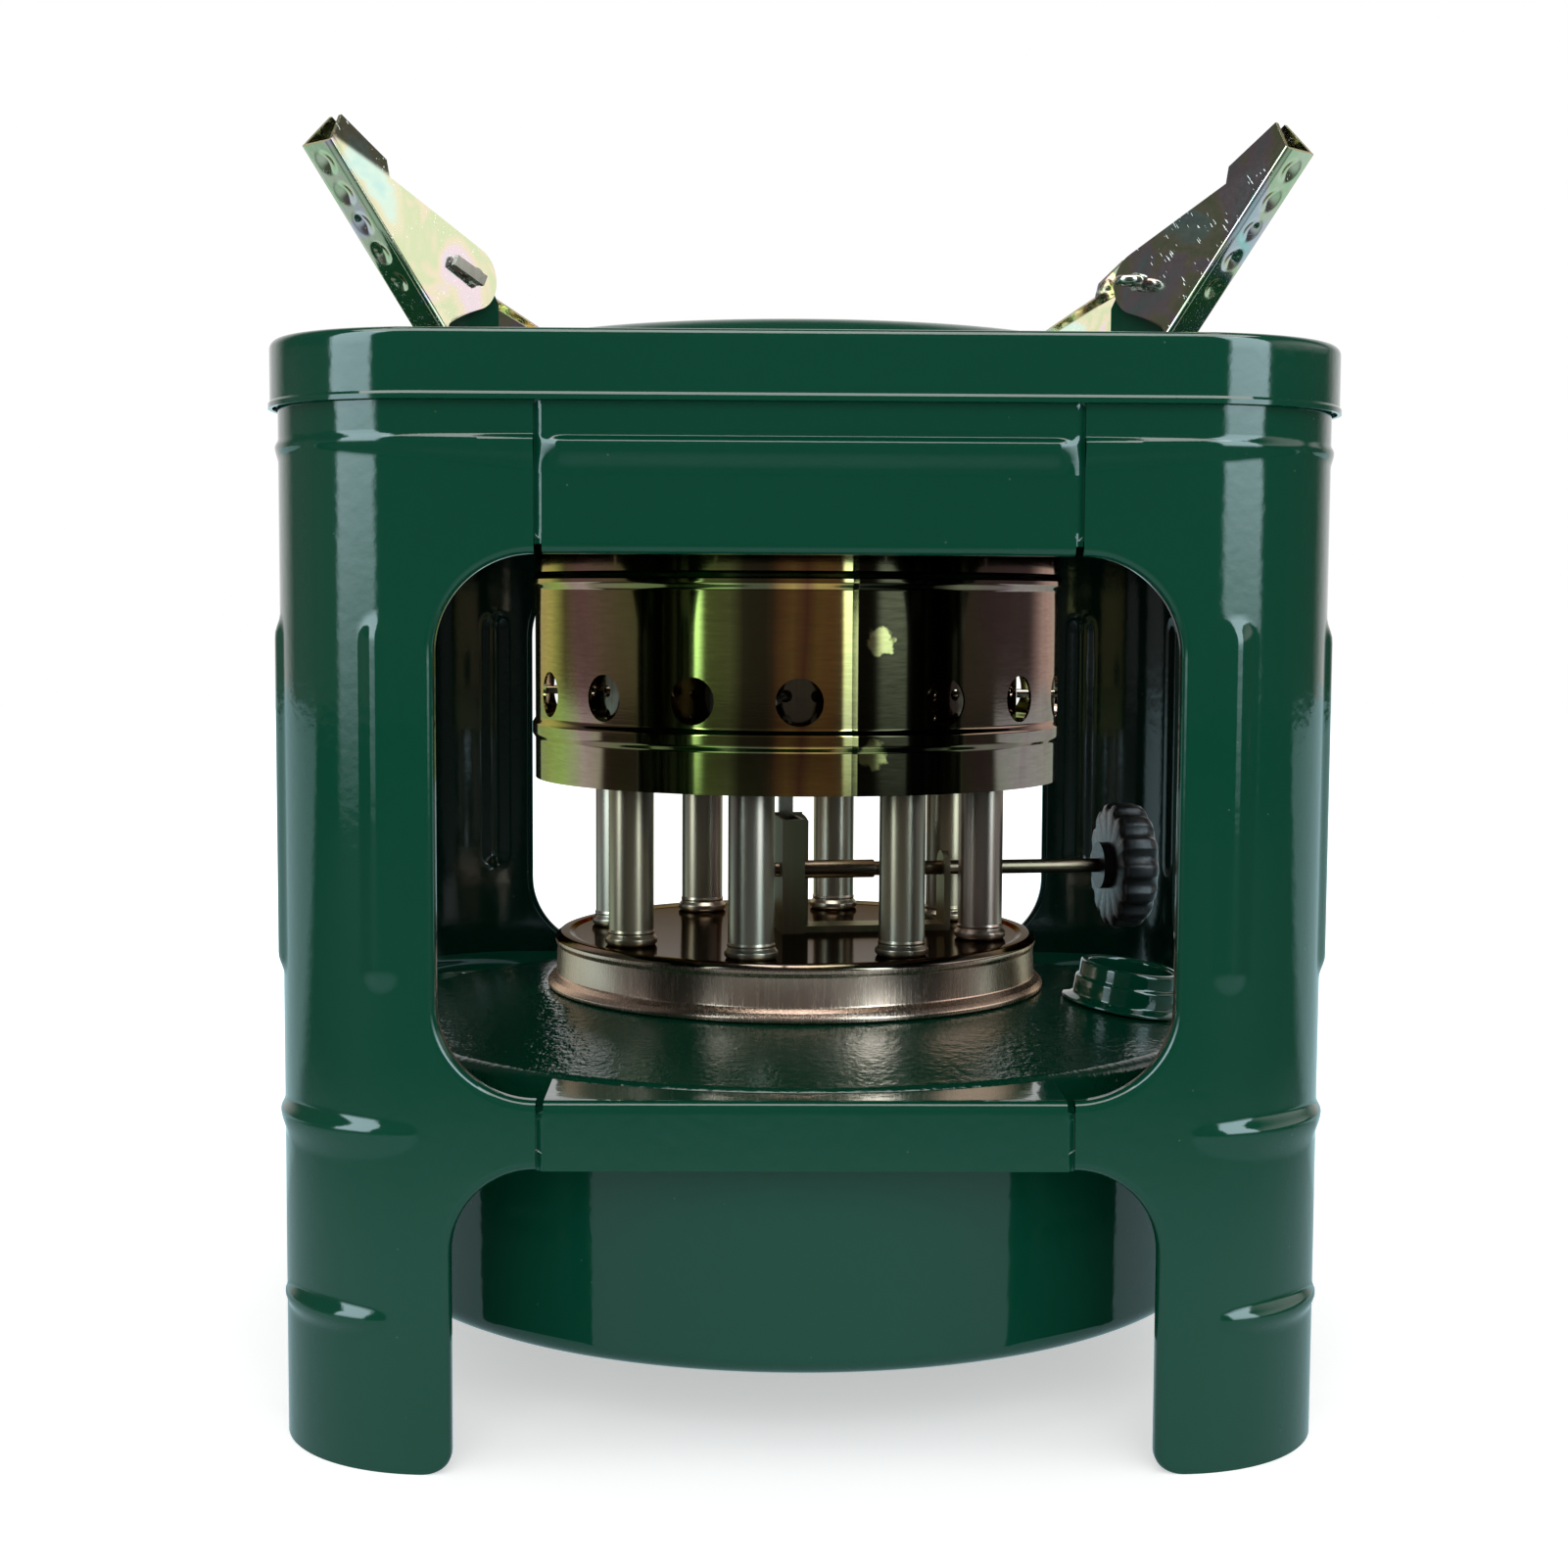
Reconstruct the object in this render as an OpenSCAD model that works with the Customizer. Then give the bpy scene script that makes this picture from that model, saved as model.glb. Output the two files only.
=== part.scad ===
// Eight-wick kerosene camping stove: enamelled sheet frame, fuel tank, plated burner,
// lift-off chimney, wick raiser with rack and pinion, and four folding pot supports.
// Millimetres, +Z up. The origin is on the ground under the middle of the stove.
// The front is -Y and the knob is on the +X side.

/* [Frame] */
// Gap between the fuel tank and the frame's flat sides
side_gap = 8.5; // [6:0.5:12]
// Outer radius of the frame's four corners
corner_r = 32.5; // [30:0.5:34]
// Thickness of the enamelled sheet
sheet_t = 0.8; // [0.6:0.1:1]
// Distance from a window to the round of the frame's corner
window_edge = 1.5; // [1:0.1:3]
// Radius of a window's corners
window_r = 18.8; // [16:0.2:21]
// Height of the window in each side
window_h = 103.2; // [98:0.2:108]
// Height of the open space between the feet
leg_gap_h = 59; // [55:0.5:62]
// Distance from the open space between the feet to the round of the frame's corner
leg_edge = 4; // [3:0.5:6]
// Height of the crossbars under the windows
crossbar_h = 13.3; // [12:0.1:15]
// Height of the aprons above the windows
apron_h = 40.7; // [38:0.1:44]
// Depth of the flange turned in round each opening
flange_d = 3.4; // [3:0.1:4.5]
// Outer radius of the folds in the sheet
bend_r = 1.8; // [1.6:0.1:2.2]

/* [Lid] */
// Height of the lid's rim
lid_rim_h = 13.2; // [11:0.2:15]
// Gap between the lid's rim and the frame
lid_gap = 0.7; // [0.5:0.1:1]
// Height of the collar round the lid's hole
collar_h = 6.5; // [5:0.1:8]
// Width of the collar's slope
collar_w = 12; // [10:0.5:14]

/* [Tank] */
// Width of the tank's top outside the burner, which holds the filler
tank_margin = 38.2; // [34:0.2:42]
// Height of the tank's bottom above the ground
tank_lift = 16; // [12:0.5:22]
// Rise of the tank's top from its shoulder to the burner
dome_rise = 5.6; // [4:0.2:8]
// Inner radius of the filler's mouth
filler_bore_r = 9.4; // [8.5:0.1:10]
// Height of the filler neck
filler_h = 9.5; // [8:0.5:12]

/* [Burner] */
// Turn of the burner from the frame, in degrees
burner_turn = 8.6; // [6:0.2:11]
// Outer radius of the burner's base
base_r = 55.3; // [54:0.1:56]
// Height of the burner's base
base_h = 11.9; // [11:0.1:14]
// Radius of the circle of wick tubes
tube_circle_r = 43.2; // [42.8:0.1:43.6]
// Outer radius of a wick tube
tube_r = 5; // [4.8:0.1:5.2]
// Length of a wick tube above the burner's base
tube_len = 42.5; // [40:0.5:46]
// Height of the control shaft above the burner's base
shaft_h = 14.3; // [13.5:0.1:15.5]
// Radius of the control shaft
shaft_r = 1.65; // [1.5:0.05:1.8]
// Distance from the stove's axis to the knob's inner face
knob_reach = 75; // [73:0.5:78]
// Radius of the knob
knob_r = 14.7; // [13:0.1:16]

/* [Chimney] */
// Outer radius of the chimney's drum
drum_r = 60.2; // [59.5:0.1:61]
// Thickness of the chimney's sheet
drum_t = 0.6; // [0.5:0.1:0.7]
// How far the drum stands above the lid's top
drum_stand = 2; // [1:0.5:4]
// Radius of the air holes in the drum
air_hole_r = 5; // [4:0.1:5.5]

/* [Pot supports] */
// Distance from a frame side to a support's pivot
pivot_inset = 35.9; // [34:0.1:38]
// Height of a pivot above the lid
pivot_h = 13.5; // [13:0.1:14.5]
// Length of a support's spine
spine_len = 42.3; // [40:0.1:45]
// Width of a support's spine
spine_w = 9.2; // [8.8:0.1:10]
// Thickness of a support's sheet
support_t = 0.9; // [0.8:0.1:1]
// Slope of an open support, in degrees
open_slope = 51; // [48:1:54]

/* [Hidden] */

ENAMEL = "#0b4a33";
PLATED = "#b9a869";
STEEL = "#a9aaa4";
BLACK = "#1b1b1c";
WICK_COLOR = "#e8e2d0";

$fn = 72;
// Overrun of every cutting solid
cut = 1;
// Joints between faces of one body that don't touch
seat_gap = 0.05;
// Joints between faces of two bodies that move
run_gap = 0.3;
// Radial clearance of a shaft or pin that turns in a hole
bearing_gap = 0.05;

// Corners in order: front right, rear right, rear left, front left
CORNERS = ["front_right", "rear_right", "rear_left", "front_left"];
SIDES = ["front", "right", "rear", "left"];

// Plan of the tank and of the frame round it
base_flange_w = 2;
base_flange_r = base_r + base_flange_w;
tank_r = base_flange_r + tank_margin;
half = tank_r + side_gap;
corner_c = half - corner_r;
window_half = corner_c - window_edge;
seam_x = window_half - window_r;
leg_gap_half = corner_c - leg_edge;
quarter_turn = 90;
full_turn = 360;
window_z0 = leg_gap_h + crossbar_h;
window_z1 = window_z0 + window_h;
panel_top = window_z1 + apron_h;
lid_top = panel_top + sheet_t;
leg_gap_r = leg_gap_half - seam_x;
foot_r = 4;
fold_steps = 6;
seam_slit = 0.15;

// Long upright beads and short corner beads pressed in the leg panels
post_bead_w = 7.5;
post_bead_h = 1.2;
post_bead_turn = 16;
post_bead_low = 19;
post_bead_high = 10;
BEAD_KINDS = [0 : 5];
corner_bead_w = 8.5;
corner_bead_h = 1.5;
corner_bead_share = 1.035;
corner_bead_z = leg_gap_h * corner_bead_share;
corner_bead_turn = 37;
foot_bead_share = 0.43;
foot_bead_z = leg_gap_h * foot_bead_share;
foot_bead_turn = 31;

// Swage along the aprons and the tops of the leg panels
swage_rise = 17.7;
swage_w = 7.2;
swage_h = 1.5;
swage_crest = 0.9;
swage_steps = 10;
swage_back = 3;
swage_end = seam_x - swage_back;
panel_swage_h = 1.2;
panel_swage_share = 0.82;
panel_swage_turn = 2.4;
swage_z = window_z1 + swage_rise;

// Joggled ends of the aprons and crossbars, which lie behind the leg panels
joggle_back = 2.6;
joggle_x = seam_x - joggle_back;
joggle_run = 1.9;
tab_reach = 8.5;
tab_margin = 3.6;
bar_flange_share = 0.8;

// Lid
lid_half = half + lid_gap + sheet_t;
lid_corner_r = corner_r + lid_gap + sheet_t;
lid_rim_z = lid_top - lid_rim_h;
hem_h = 1.3;
hem_t = 0.35;
drum_bead_h = 0.7;
lid_hole_gap = 0.9;
lid_hole_r = drum_r + drum_bead_h + lid_hole_gap;
collar_lip = 2.6;
collar_steps = 8;

// Tank
tank_t = 0.8;
tank_foot_r = 4;
shoulder_r = 2.5;
shoulder_drop = 1.8;
shoulder_z = window_z0 - shoulder_drop;
tank_seam_drop = 4.5;
tank_seam_z = shoulder_z - tank_seam_drop;
dome_r0 = tank_r - shoulder_r;
dome_z0 = shoulder_z + shoulder_r;
dome_z1 = dome_z0 + dome_rise;
tank_mouth_r = base_r - 3 * base_flange_w;
dome_slope = (dome_z1 - dome_z0) / (dome_r0 - base_flange_r);

// Filler neck, square to the tank's sloping top
filler_shift = 0.4;
filler_place = base_flange_r + tank_margin / 2 - filler_shift;
filler_turn = -12;
filler_slope = atan(dome_slope);
filler_t = 0.8;
filler_body_share = 3.2;
filler_rim_share = 2.4;
filler_root_share = 1.6;
filler_body_r = filler_bore_r + filler_t * filler_body_share;
filler_rim_r = filler_bore_r + filler_t * filler_rim_share;
filler_flange_w = 2.2;
filler_flange_t = 1;
filler_step_share = 0.55;
filler_z = dome_z0 + dome_slope * (dome_r0 - filler_place);

// Burner
base_z = dome_z1;
base_flange_t = 2;
plate_t = 0.8;
base_wall_t = 0.8;
plate_z = base_z + base_h;
base_lip_r = 1.6;
lip_in_shares = [2.4, 1.6, 0.7, 0.2];
lip_down_shares = [0.7, 1.3, 1.7];
foot_up_shares = [1.4, 0.7, 0.2];
foot_out_share = 0.6;
tube_count = 8;
tube_step = full_turn / tube_count;
tube_wall = 0.6;
tube_root = 2;
tube_top = plate_z + tube_len;
collar_ring_w = 0.8;
collar_ring_h = 2;
collar_ring_shares = [0.7, 0.3];
gallery_drop = 2.5;
gallery_t = 0.8;
gallery_margin = 4;
gallery_top = tube_top - gallery_drop;

// Guide post, which houses the pinion and guides the rack
post_x0 = -4;
post_w = 5.2;
post_t = 0.8;
post_h = 26.4;
gear_module = 0.8;
gear_teeth = 10;
pitch_r = gear_module * gear_teeth / 2;
tooth_add_share = 0.75;
tooth_ded_share = 1.15;
tooth_add = gear_module * tooth_add_share;
tooth_ded = gear_module * tooth_ded_share;
tooth_slack = 0.14;
pressure_angle = 20;
gear_w = 3;
rack_w = 3.2;
rack_back = 2.2;
rack_rise_share = 0.55;
post_side_gap = 0.4;
rack_y0 = pitch_r + tooth_ded;
rack_y1 = rack_y0 + rack_back;
post_y0 = -(pitch_r + tooth_add) - post_side_gap - post_t;
post_y1 = rack_y1 + run_gap + post_t;
wick_lift = 12;
shaft_z = plate_z + shaft_h;

// Wicks and their carrier
wick_gap = 0.3;
wick_r = tube_r - tube_wall - wick_gap;
wick_drop = 0.5;
wick_foot = 6;
carrier_t = 1.5;
carrier_drop = 20.5;
carrier_z = plate_z - carrier_drop;
carrier_rim = 1.3;
carrier_arm_w = 10;

// Control shaft, bracket and knob
shaft_tail = 1;
shaft_in_knob = 5;
sleeve_r = 2.1;
sleeve_len = 17;
bracket_t = 1.5;
bracket_w = 8;
bracket_reach = 36;
ear_top = 4.5;
back_plate_w = 8.5;
knob_body_h = 7.5;
knob_dome_h = 2.5;
knob_hub_r = 5.5;
knob_hub_h = 2.2;
knob_flutes = 14;
flute_r = 2.1;
flute_depth = 1.1;
knob_chamfer = 1.2;

// Chimney
drum_drop = 6.3;
drum_z0 = tube_top - drum_drop;
drum_top = lid_top + drum_stand;
air_hole_count = 16;
air_hole_turn = 21.96;
air_hole_first_turn = 30;
air_hole_rise = 19.4;
low_bead_rise = 9;
low_bead_w = 4.6;
high_bead_rise = 42.7;
high_bead_w = 3.4;
bead_side = 1;
seam_turn = 12.8;
seam_lap_turn = 7;
seam_lap_t = 0.35;
flame_gap = 2.3;
flame_t = 0.5;
flame_drop = 12;
flame_top = lid_top - flame_drop;
flame_outer_r = tube_circle_r + tube_r + flame_gap;
flame_inner_r = tube_circle_r - tube_r - flame_gap + flame_t;
flame_rows = 3;
flame_holes = 16;
flame_hole_r = 2.2;
flame_row_share = 0.25;
spacer_count = 4;
spacer_r = 1;
spacer_turn = -6;

// Pot supports. A point is given along the spine from its low end, and inward from it
pivot_along = 3.6;
pivot_in = 13.8;
pivot_place = (half - pivot_inset) * sqrt(2);
pivot_z = lid_top + pivot_h;
round_end_r = 6.3;
round_near_shares = [0.42, 0.91];
round_far_shares = [0.95, 0.35];
heel_shares = [0.6, 0.2];
cheek_turn = 6;
tab_along_share = 0.76;
tab_in = 11;
notch_in = 8.4;
notch_along_share = 0.7;
tip_in = 7.9;
tip_past = 1.7;
crease_in = 1.6;
tab_turn = 17;
dimple_count = 5;
dimple_r = 2.4;
dimple_h = 0.5;
dimple_ends_share = 0.1;
pin_r = 1.8;
lug_t = 0.8;
lug_space = 1;
lug_back = 7.8;
lug_head_r = 4.5;
lug_foot_w = 3.4;
lug_stop_gap = 0.35;
lug_nose_share = 0.7;
lug_front_shares = [0.9, 0.4];
lug_back_shares = [0.8, 0.6];
pin_head_r = 2;
pin_wire_r = 0.9;
pin_leg_len = 8;
pin_leg_turn = 25;
pin_leg_t = 1.1;
pin_stand = 0.35;
pin_leg_share = 0.6;

// A quarter of a rounded square in plan, at the front right
module corner_plan(h, r) {
    translate([0, r - h])
        square([h, h - r]);
    translate([0, -h])
        square([h - r, h]);
    translate([h - r, r - h])
        circle(r = r);
}

// A whole rounded square in plan
module round_square(h, r) {
    square([2 * h, 2 * (h - r)], center = true);
    square([2 * (h - r), 2 * h], center = true);
    for (x = [-1, 1], y = [-1, 1])
        translate([x * (h - r), y * (h - r)])
            circle(r = r);
}

// Section of a folded edge: x runs from the opening into the sheet, y from the face inward
function fold_section(r, t, depth) = concat(
    [for (i = [0 : fold_steps])
        let (a = quarter_turn * i / fold_steps)
        [r - r * cos(a), r - r * sin(a)]],
    [for (i = [fold_steps : -1 : 0])
        let (a = quarter_turn * i / fold_steps)
        [r - (r - t) * cos(a), r - (r - t) * sin(a)]],
    depth > r ? [[t, depth], [0, depth]] : []);

// A folded edge that runs upright on the front face
module fold_upright(x, z0, z1) {
    translate([x, -half, z0])
        linear_extrude(height = z1 - z0)
            polygon(fold_section(bend_r, sheet_t, flange_d));
}

// A folded edge that turns a quarter on the front face; turn 0 is the lower right corner
module fold_turn(x, z, r, turn) {
    translate([x, -half, z])
        rotate([-quarter_turn, 0, 0])
            rotate([0, 0, turn])
                rotate_extrude(angle = quarter_turn)
                    translate([r, 0])
                        polygon(fold_section(bend_r, sheet_t, flange_d));
}

// A pressed bead with round ends that stands upright, as a solid of its full round
module bead_upright(r, z0, z1) {
    translate([0, 0, z0])
        rotate_extrude()
            intersection() {
                translate([0, -r])
                    square([r, z1 - z0 + 2 * r]);
                union() {
                    circle(r = r);
                    translate([0, z1 - z0])
                        circle(r = r);
                    translate([-r, 0])
                        square([2 * r, z1 - z0]);
                }
            }
}

// Radius of an arc from its width and its height
function arc_r(w, h) = (w * w / 4 + h * h) / (2 * h);

// The beads of one leg panel, made thinner by inset for their hollow side
module post_bead(turn, inset) {
    r = arc_r(post_bead_w, post_bead_h);
    translate([corner_c, -corner_c, 0])
        rotate([0, 0, turn])
            translate([0, r - corner_r - post_bead_h, 0])
                bead_upright(r - inset, window_z0 + post_bead_low + post_bead_w / 2,
                    window_z1 - post_bead_high - post_bead_w / 2);
}

// A bead across the corner: a ring set off centre, so that it sinks into the sheet at both ends
module corner_bead(z, spread, inset) {
    r = arc_r(corner_bead_w, corner_bead_h);
    crest = corner_r + corner_bead_h;
    shift = (crest * crest - corner_r * corner_r) / (2 * (crest - corner_r * cos(spread)));
    translate([corner_c, -corner_c, z])
        rotate([0, 0, -45])
            translate([shift, 0, 0])
                rotate_extrude()
                    translate([crest - shift - r, 0])
                        circle(r = r - inset);
}

module panel_swage(flip, inset) {
    r = arc_r(swage_w, panel_swage_h);
    len = (corner_c - seam_x) * panel_swage_share;
    mirror([flip, flip, 0])
        difference() {
            translate([seam_x, r - half - panel_swage_h, swage_z])
                rotate([0, 0, panel_swage_turn])
                    rotate([0, quarter_turn, 0])
                        bead_upright(r - inset, -3 * r, len);
            translate([seam_x - 5 * r, -half - r, swage_z - 2 * r])
                cube([5 * r, 3 * r, 4 * r]);
        }
}

module panel_bead(kind, inset) {
    if (kind < 2) post_bead(kind == 0 ? post_bead_turn : quarter_turn - post_bead_turn, inset);
    if (kind == 2) corner_bead(corner_bead_z, corner_bead_turn, inset);
    if (kind == 3) corner_bead(foot_bead_z, foot_bead_turn, inset);
    if (kind > 3) panel_swage(kind - 4, inset);
}

module opening_cut(x, z0, z1, r, low_r) {
    translate([0, cut - half + corner_r, 0])
        rotate([quarter_turn, 0, 0])
            linear_extrude(height = corner_r + 2 * corner_bead_h + 2 * cut)
                union() {
                    translate([0, z0 + low_r])
                        square([x, z1 - z0 - r - low_r]);
                    translate([0, z0])
                        square([x - max(r, low_r), z1 - z0]);
                    translate([x - r, z1 - r])
                        circle(r = r);
                    if (low_r > 0)
                        translate([x - low_r, z0 + low_r])
                            circle(r = low_r);
                }
}

module foot_corner_cut() {
    translate([leg_gap_half - cut, flange_d + cut - half, -cut])
        rotate([quarter_turn, 0, 0])
            linear_extrude(height = flange_d + 2 * cut)
                difference() {
                    square([foot_r + cut, foot_r + cut]);
                    translate([foot_r + cut, foot_r + cut])
                        circle(r = foot_r);
                    translate([foot_r + cut, 0])
                        square([foot_r + cut, foot_r + 2 * cut]);
                    translate([0, foot_r + cut])
                        square([foot_r + 2 * cut, foot_r + cut]);
                }
}

// The front half of a leg panel's openings, mirrored for its other face
module panel_cuts() {
    for (flip = [0, 1])
        mirror([flip, flip, 0]) {
            opening_cut(window_half + bend_r, window_z0 - bend_r, window_z1 + bend_r,
                window_r + bend_r, window_r + bend_r);
            opening_cut(leg_gap_half + bend_r, -cut, leg_gap_h + bend_r, leg_gap_r + bend_r, 0);
        }
}

module panel_folds() {
    for (flip = [0, 1])
        mirror([flip, flip, 0]) {
            fold_upright(window_half, window_z0 + window_r, window_z1 - window_r);
            fold_turn(seam_x, window_z0 + window_r, window_r, 0);
            fold_turn(seam_x, window_z1 - window_r, window_r, -quarter_turn);
            difference() {
                fold_upright(leg_gap_half, 0, leg_gap_h - leg_gap_r);
                foot_corner_cut();
            }
            fold_turn(seam_x, leg_gap_h - leg_gap_r, leg_gap_r, -quarter_turn);
        }
}

// One corner of the frame: a bent sheet with flanged openings and pressed beads
module leg_panel(turn) {
    color(ENAMEL)
        rotate([0, 0, turn])
            union() {
                difference() {
                    linear_extrude(height = panel_top)
                        difference() {
                            corner_plan(half, corner_r);
                            corner_plan(half - sheet_t, corner_r - sheet_t);
                            translate([-cut, -half - cut])
                                square([seam_x + cut, half]);
                            translate([half - corner_r, -seam_x])
                                square([half, seam_x + cut]);
                        }
                    for (kind = BEAD_KINDS)
                        panel_bead(kind, sheet_t);
                    panel_cuts();
                }
                for (kind = BEAD_KINDS)
                    difference() {
                        panel_bead(kind, 0);
                        panel_bead(kind, sheet_t);
                        linear_extrude(height = panel_top)
                            corner_plan(half - sheet_t / 2, corner_r - sheet_t / 2);
                    }
                panel_folds();
            }
}

// Swage of an apron: a crisp crest near the top that fades downward
function swage_at(s) = swage_h * (s < 0 ? 0 : s < swage_crest ? s / swage_crest :
    (1 + cos(180 * (s - swage_crest) / (swage_w - swage_crest))) / 2);
function swage_drops() = [for (i = [0 : swage_steps]) i < 2 ? i * swage_crest :
    swage_crest + (swage_w - swage_crest) * (i - 1) / (swage_steps - 1)];

module apron_section() {
    top = swage_z + swage_w / 2;
    face = [for (s = swage_drops()) [-swage_at(s), top - s]];
    translate([-half, 0])
        polygon(concat([[0, panel_top]], face, [[0, window_z1 + bend_r], [sheet_t, window_z1 + bend_r]],
            [for (i = [swage_steps : -1 : 0]) face[i] + [sheet_t, 0]], [[sheet_t, panel_top]]));
}

// Plan of a strip's joggled end: it steps back one sheet and lies behind the leg panel
module joggle_plan() {
    inner = seam_x + tab_reach;
    gap = sheet_t + seat_gap;
    polygon([[0, -half], [joggle_x, -half], [joggle_x + joggle_run, gap - half],
        [inner, gap - half], [inner, gap + sheet_t - half],
        [joggle_x + joggle_run - sheet_t / 2, gap + sheet_t - half],
        [joggle_x - sheet_t / 2, sheet_t - half], [0, sheet_t - half]]);
}

module strip_side(z0, z1, tab_z0, tab_z1) {
    intersection() {
        translate([0, 0, z0])
            linear_extrude(height = z1 - z0)
                joggle_plan();
        union() {
            translate([0, -half - cut, z0])
                cube([seam_x - seam_slit / 2, half, z1 - z0]);
            translate([0, -half - cut, tab_z0])
                cube([half, half, tab_z1 - tab_z0]);
        }
    }
}

module along_x(x0, x1) {
    translate([x1, 0, 0])
        rotate([0, -quarter_turn, 0])
            linear_extrude(height = x1 - x0)
                children();
}

// Section of a level fold: it opens downward at height z, or upward when up is 1
module level_fold(z, up, x1) {
    translate([0, -half, z])
        mirror([0, 0, up ? 1 : 0])
            along_x(-x1, x1)
                polygon(fold_section(bend_r, sheet_t, flange_d));
}

// One upper strip between two leg panels
module apron(turn) {
    color(ENAMEL)
        rotate([0, 0, turn])
            union() {
                for (side = [0, 1])
                    mirror([side, 0, 0])
                        difference() {
                            strip_side(window_z1 + bend_r, panel_top, window_z1 + tab_margin, lid_rim_z);
                            translate([-cut, -half - cut, swage_z - swage_w / 2])
                                cube([swage_end + cut, sheet_t + 2 * cut, swage_w]);
                        }
                translate([-swage_end, 0, 0])
                    rotate([quarter_turn, 0, quarter_turn])
                        linear_extrude(height = 2 * swage_end)
                            intersection() {
                                apron_section();
                                translate([-half - 2 * swage_h, swage_z - swage_w / 2])
                                    square([half, swage_w]);
                            }
                level_fold(window_z1, 0, joggle_x);
            }
}

// One lower strip, whose top flange is welded to the tank
module crossbar(turn) {
    flange_in = half - tank_r * bar_flange_share;
    color(ENAMEL)
        rotate([0, 0, turn])
            union() {
                for (side = [0, 1])
                    mirror([side, 0, 0])
                        strip_side(leg_gap_h, window_z0 - bend_r, leg_gap_h + tab_margin,
                            window_z0 - tab_margin);
                level_fold(window_z0, 1, joggle_x);
                difference() {
                    translate([-joggle_x, bend_r - half, window_z0 - sheet_t])
                        cube([2 * joggle_x, flange_in, sheet_t]);
                    translate([0, 0, leg_gap_h])
                        cylinder(r = tank_r + seat_gap, h = crossbar_h + cut);
                }
            }
}

// Lid: pressed sheet with a turned-down rim, a hemmed edge and a collar round its hole
module lid_rim_fold() {
    h = lid_half - lid_corner_r;
    section = fold_section(bend_r, sheet_t, 0);
    for (side = [0 : 3])
        rotate([0, 0, quarter_turn * side]) {
            translate([-h, -lid_half, lid_top])
                rotate([quarter_turn, 0, quarter_turn])
                    linear_extrude(height = 2 * h)
                        polygon([for (p = section) [p[0], -p[1]]]);
            translate([h, -h, lid_top])
                rotate([0, 0, -quarter_turn])
                    rotate_extrude(angle = quarter_turn)
                        polygon([for (p = section) [lid_corner_r - p[0], -p[1]]]);
        }
}

function collar_height(s) = collar_h * (1 - cos(180 * min(s, 1))) / 2;

module lid_collar() {
    outer = lid_hole_r + collar_lip + collar_w;
    slope = [for (i = [0 : collar_steps])
        [outer - collar_w * i / collar_steps, collar_height(i / collar_steps)]];
    lip = [[lid_hole_r + sheet_t / 2, collar_h - sheet_t / 4], [lid_hole_r, collar_h - sheet_t],
        [lid_hole_r, collar_h - 2 * collar_lip], [lid_hole_r + sheet_t, collar_h - 2 * collar_lip],
        [lid_hole_r + sheet_t, collar_h - 3 * sheet_t / 2],
        [lid_hole_r + collar_lip, collar_h - sheet_t]];
    translate([0, 0, lid_top])
        rotate_extrude($fn = 144)
            polygon(concat(slope, lip,
                [for (i = [collar_steps - 1 : -1 : 0]) slope[i] - [0, sheet_t]]));
}

module lid() {
    collar_outer = lid_hole_r + collar_lip + collar_w;
    color(ENAMEL)
        union() {
            difference() {
                translate([0, 0, lid_top - sheet_t])
                    linear_extrude(height = sheet_t)
                        round_square(lid_half - bend_r, lid_corner_r - bend_r);
                translate([0, 0, lid_top - sheet_t - cut])
                    cylinder(r = collar_outer, h = sheet_t + 2 * cut, $fn = 144);
            }
            lid_rim_fold();
            difference() {
                union() {
                    translate([0, 0, lid_rim_z])
                        linear_extrude(height = lid_rim_h - bend_r)
                            round_square(lid_half, lid_corner_r);
                    translate([0, 0, lid_rim_z])
                        linear_extrude(height = hem_h)
                            round_square(lid_half + hem_t, lid_corner_r + hem_t);
                }
                translate([0, 0, lid_rim_z - cut])
                    linear_extrude(height = lid_rim_h + 2 * cut)
                        round_square(lid_half - sheet_t, lid_corner_r - sheet_t);
            }
            lid_collar();
        }
}

// Tank
module tank_bowl() {
    color(ENAMEL)
        rotate_extrude($fn = 144)
            difference() {
                union() {
                    translate([0, tank_lift])
                        square([tank_r - tank_foot_r, tank_foot_r]);
                    translate([0, tank_lift + tank_foot_r])
                        square([tank_r, tank_seam_z - tank_lift - tank_foot_r]);
                    translate([tank_r - tank_foot_r, tank_lift + tank_foot_r])
                        circle(r = tank_foot_r);
                }
                translate([0, tank_lift + tank_t])
                    square([tank_r - tank_foot_r, tank_foot_r]);
                translate([0, tank_lift + tank_foot_r])
                    square([tank_r - tank_t, tank_seam_z]);
                translate([tank_r - tank_foot_r, tank_lift + tank_foot_r])
                    circle(r = tank_foot_r - tank_t);
            }
}

function shoulder_point(r, a) = [dome_r0 + r * cos(a), shoulder_z + r * sin(a)];

module filler_place() {
    rotate([0, 0, filler_turn])
        translate([filler_place, 0, filler_z])
            rotate([0, filler_slope, 0])
                children();
}

// The tank's sloping top, open in the middle for the wicks and bored for the filler
module tank_top() {
    seat_z = base_z - seat_gap;
    outer = [for (a = [0 : 15 : quarter_turn]) shoulder_point(shoulder_r, a)];
    inner = [for (a = [quarter_turn : -15 : 0]) shoulder_point(shoulder_r - tank_t, a)];
    color(ENAMEL)
        difference() {
            rotate_extrude($fn = 144)
                polygon(concat([[tank_r, tank_seam_z]], outer,
                    [[base_flange_r, seat_z], [tank_mouth_r, seat_z], [tank_mouth_r, seat_z - tank_t],
                        [base_flange_r, seat_z - tank_t]], inner,
                    [[tank_r - tank_t, tank_seam_z]]));
            filler_place()
                translate([0, 0, -filler_h])
                    cylinder(r = filler_bore_r + filler_t + run_gap, h = 2 * filler_h);
        }
}

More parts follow.
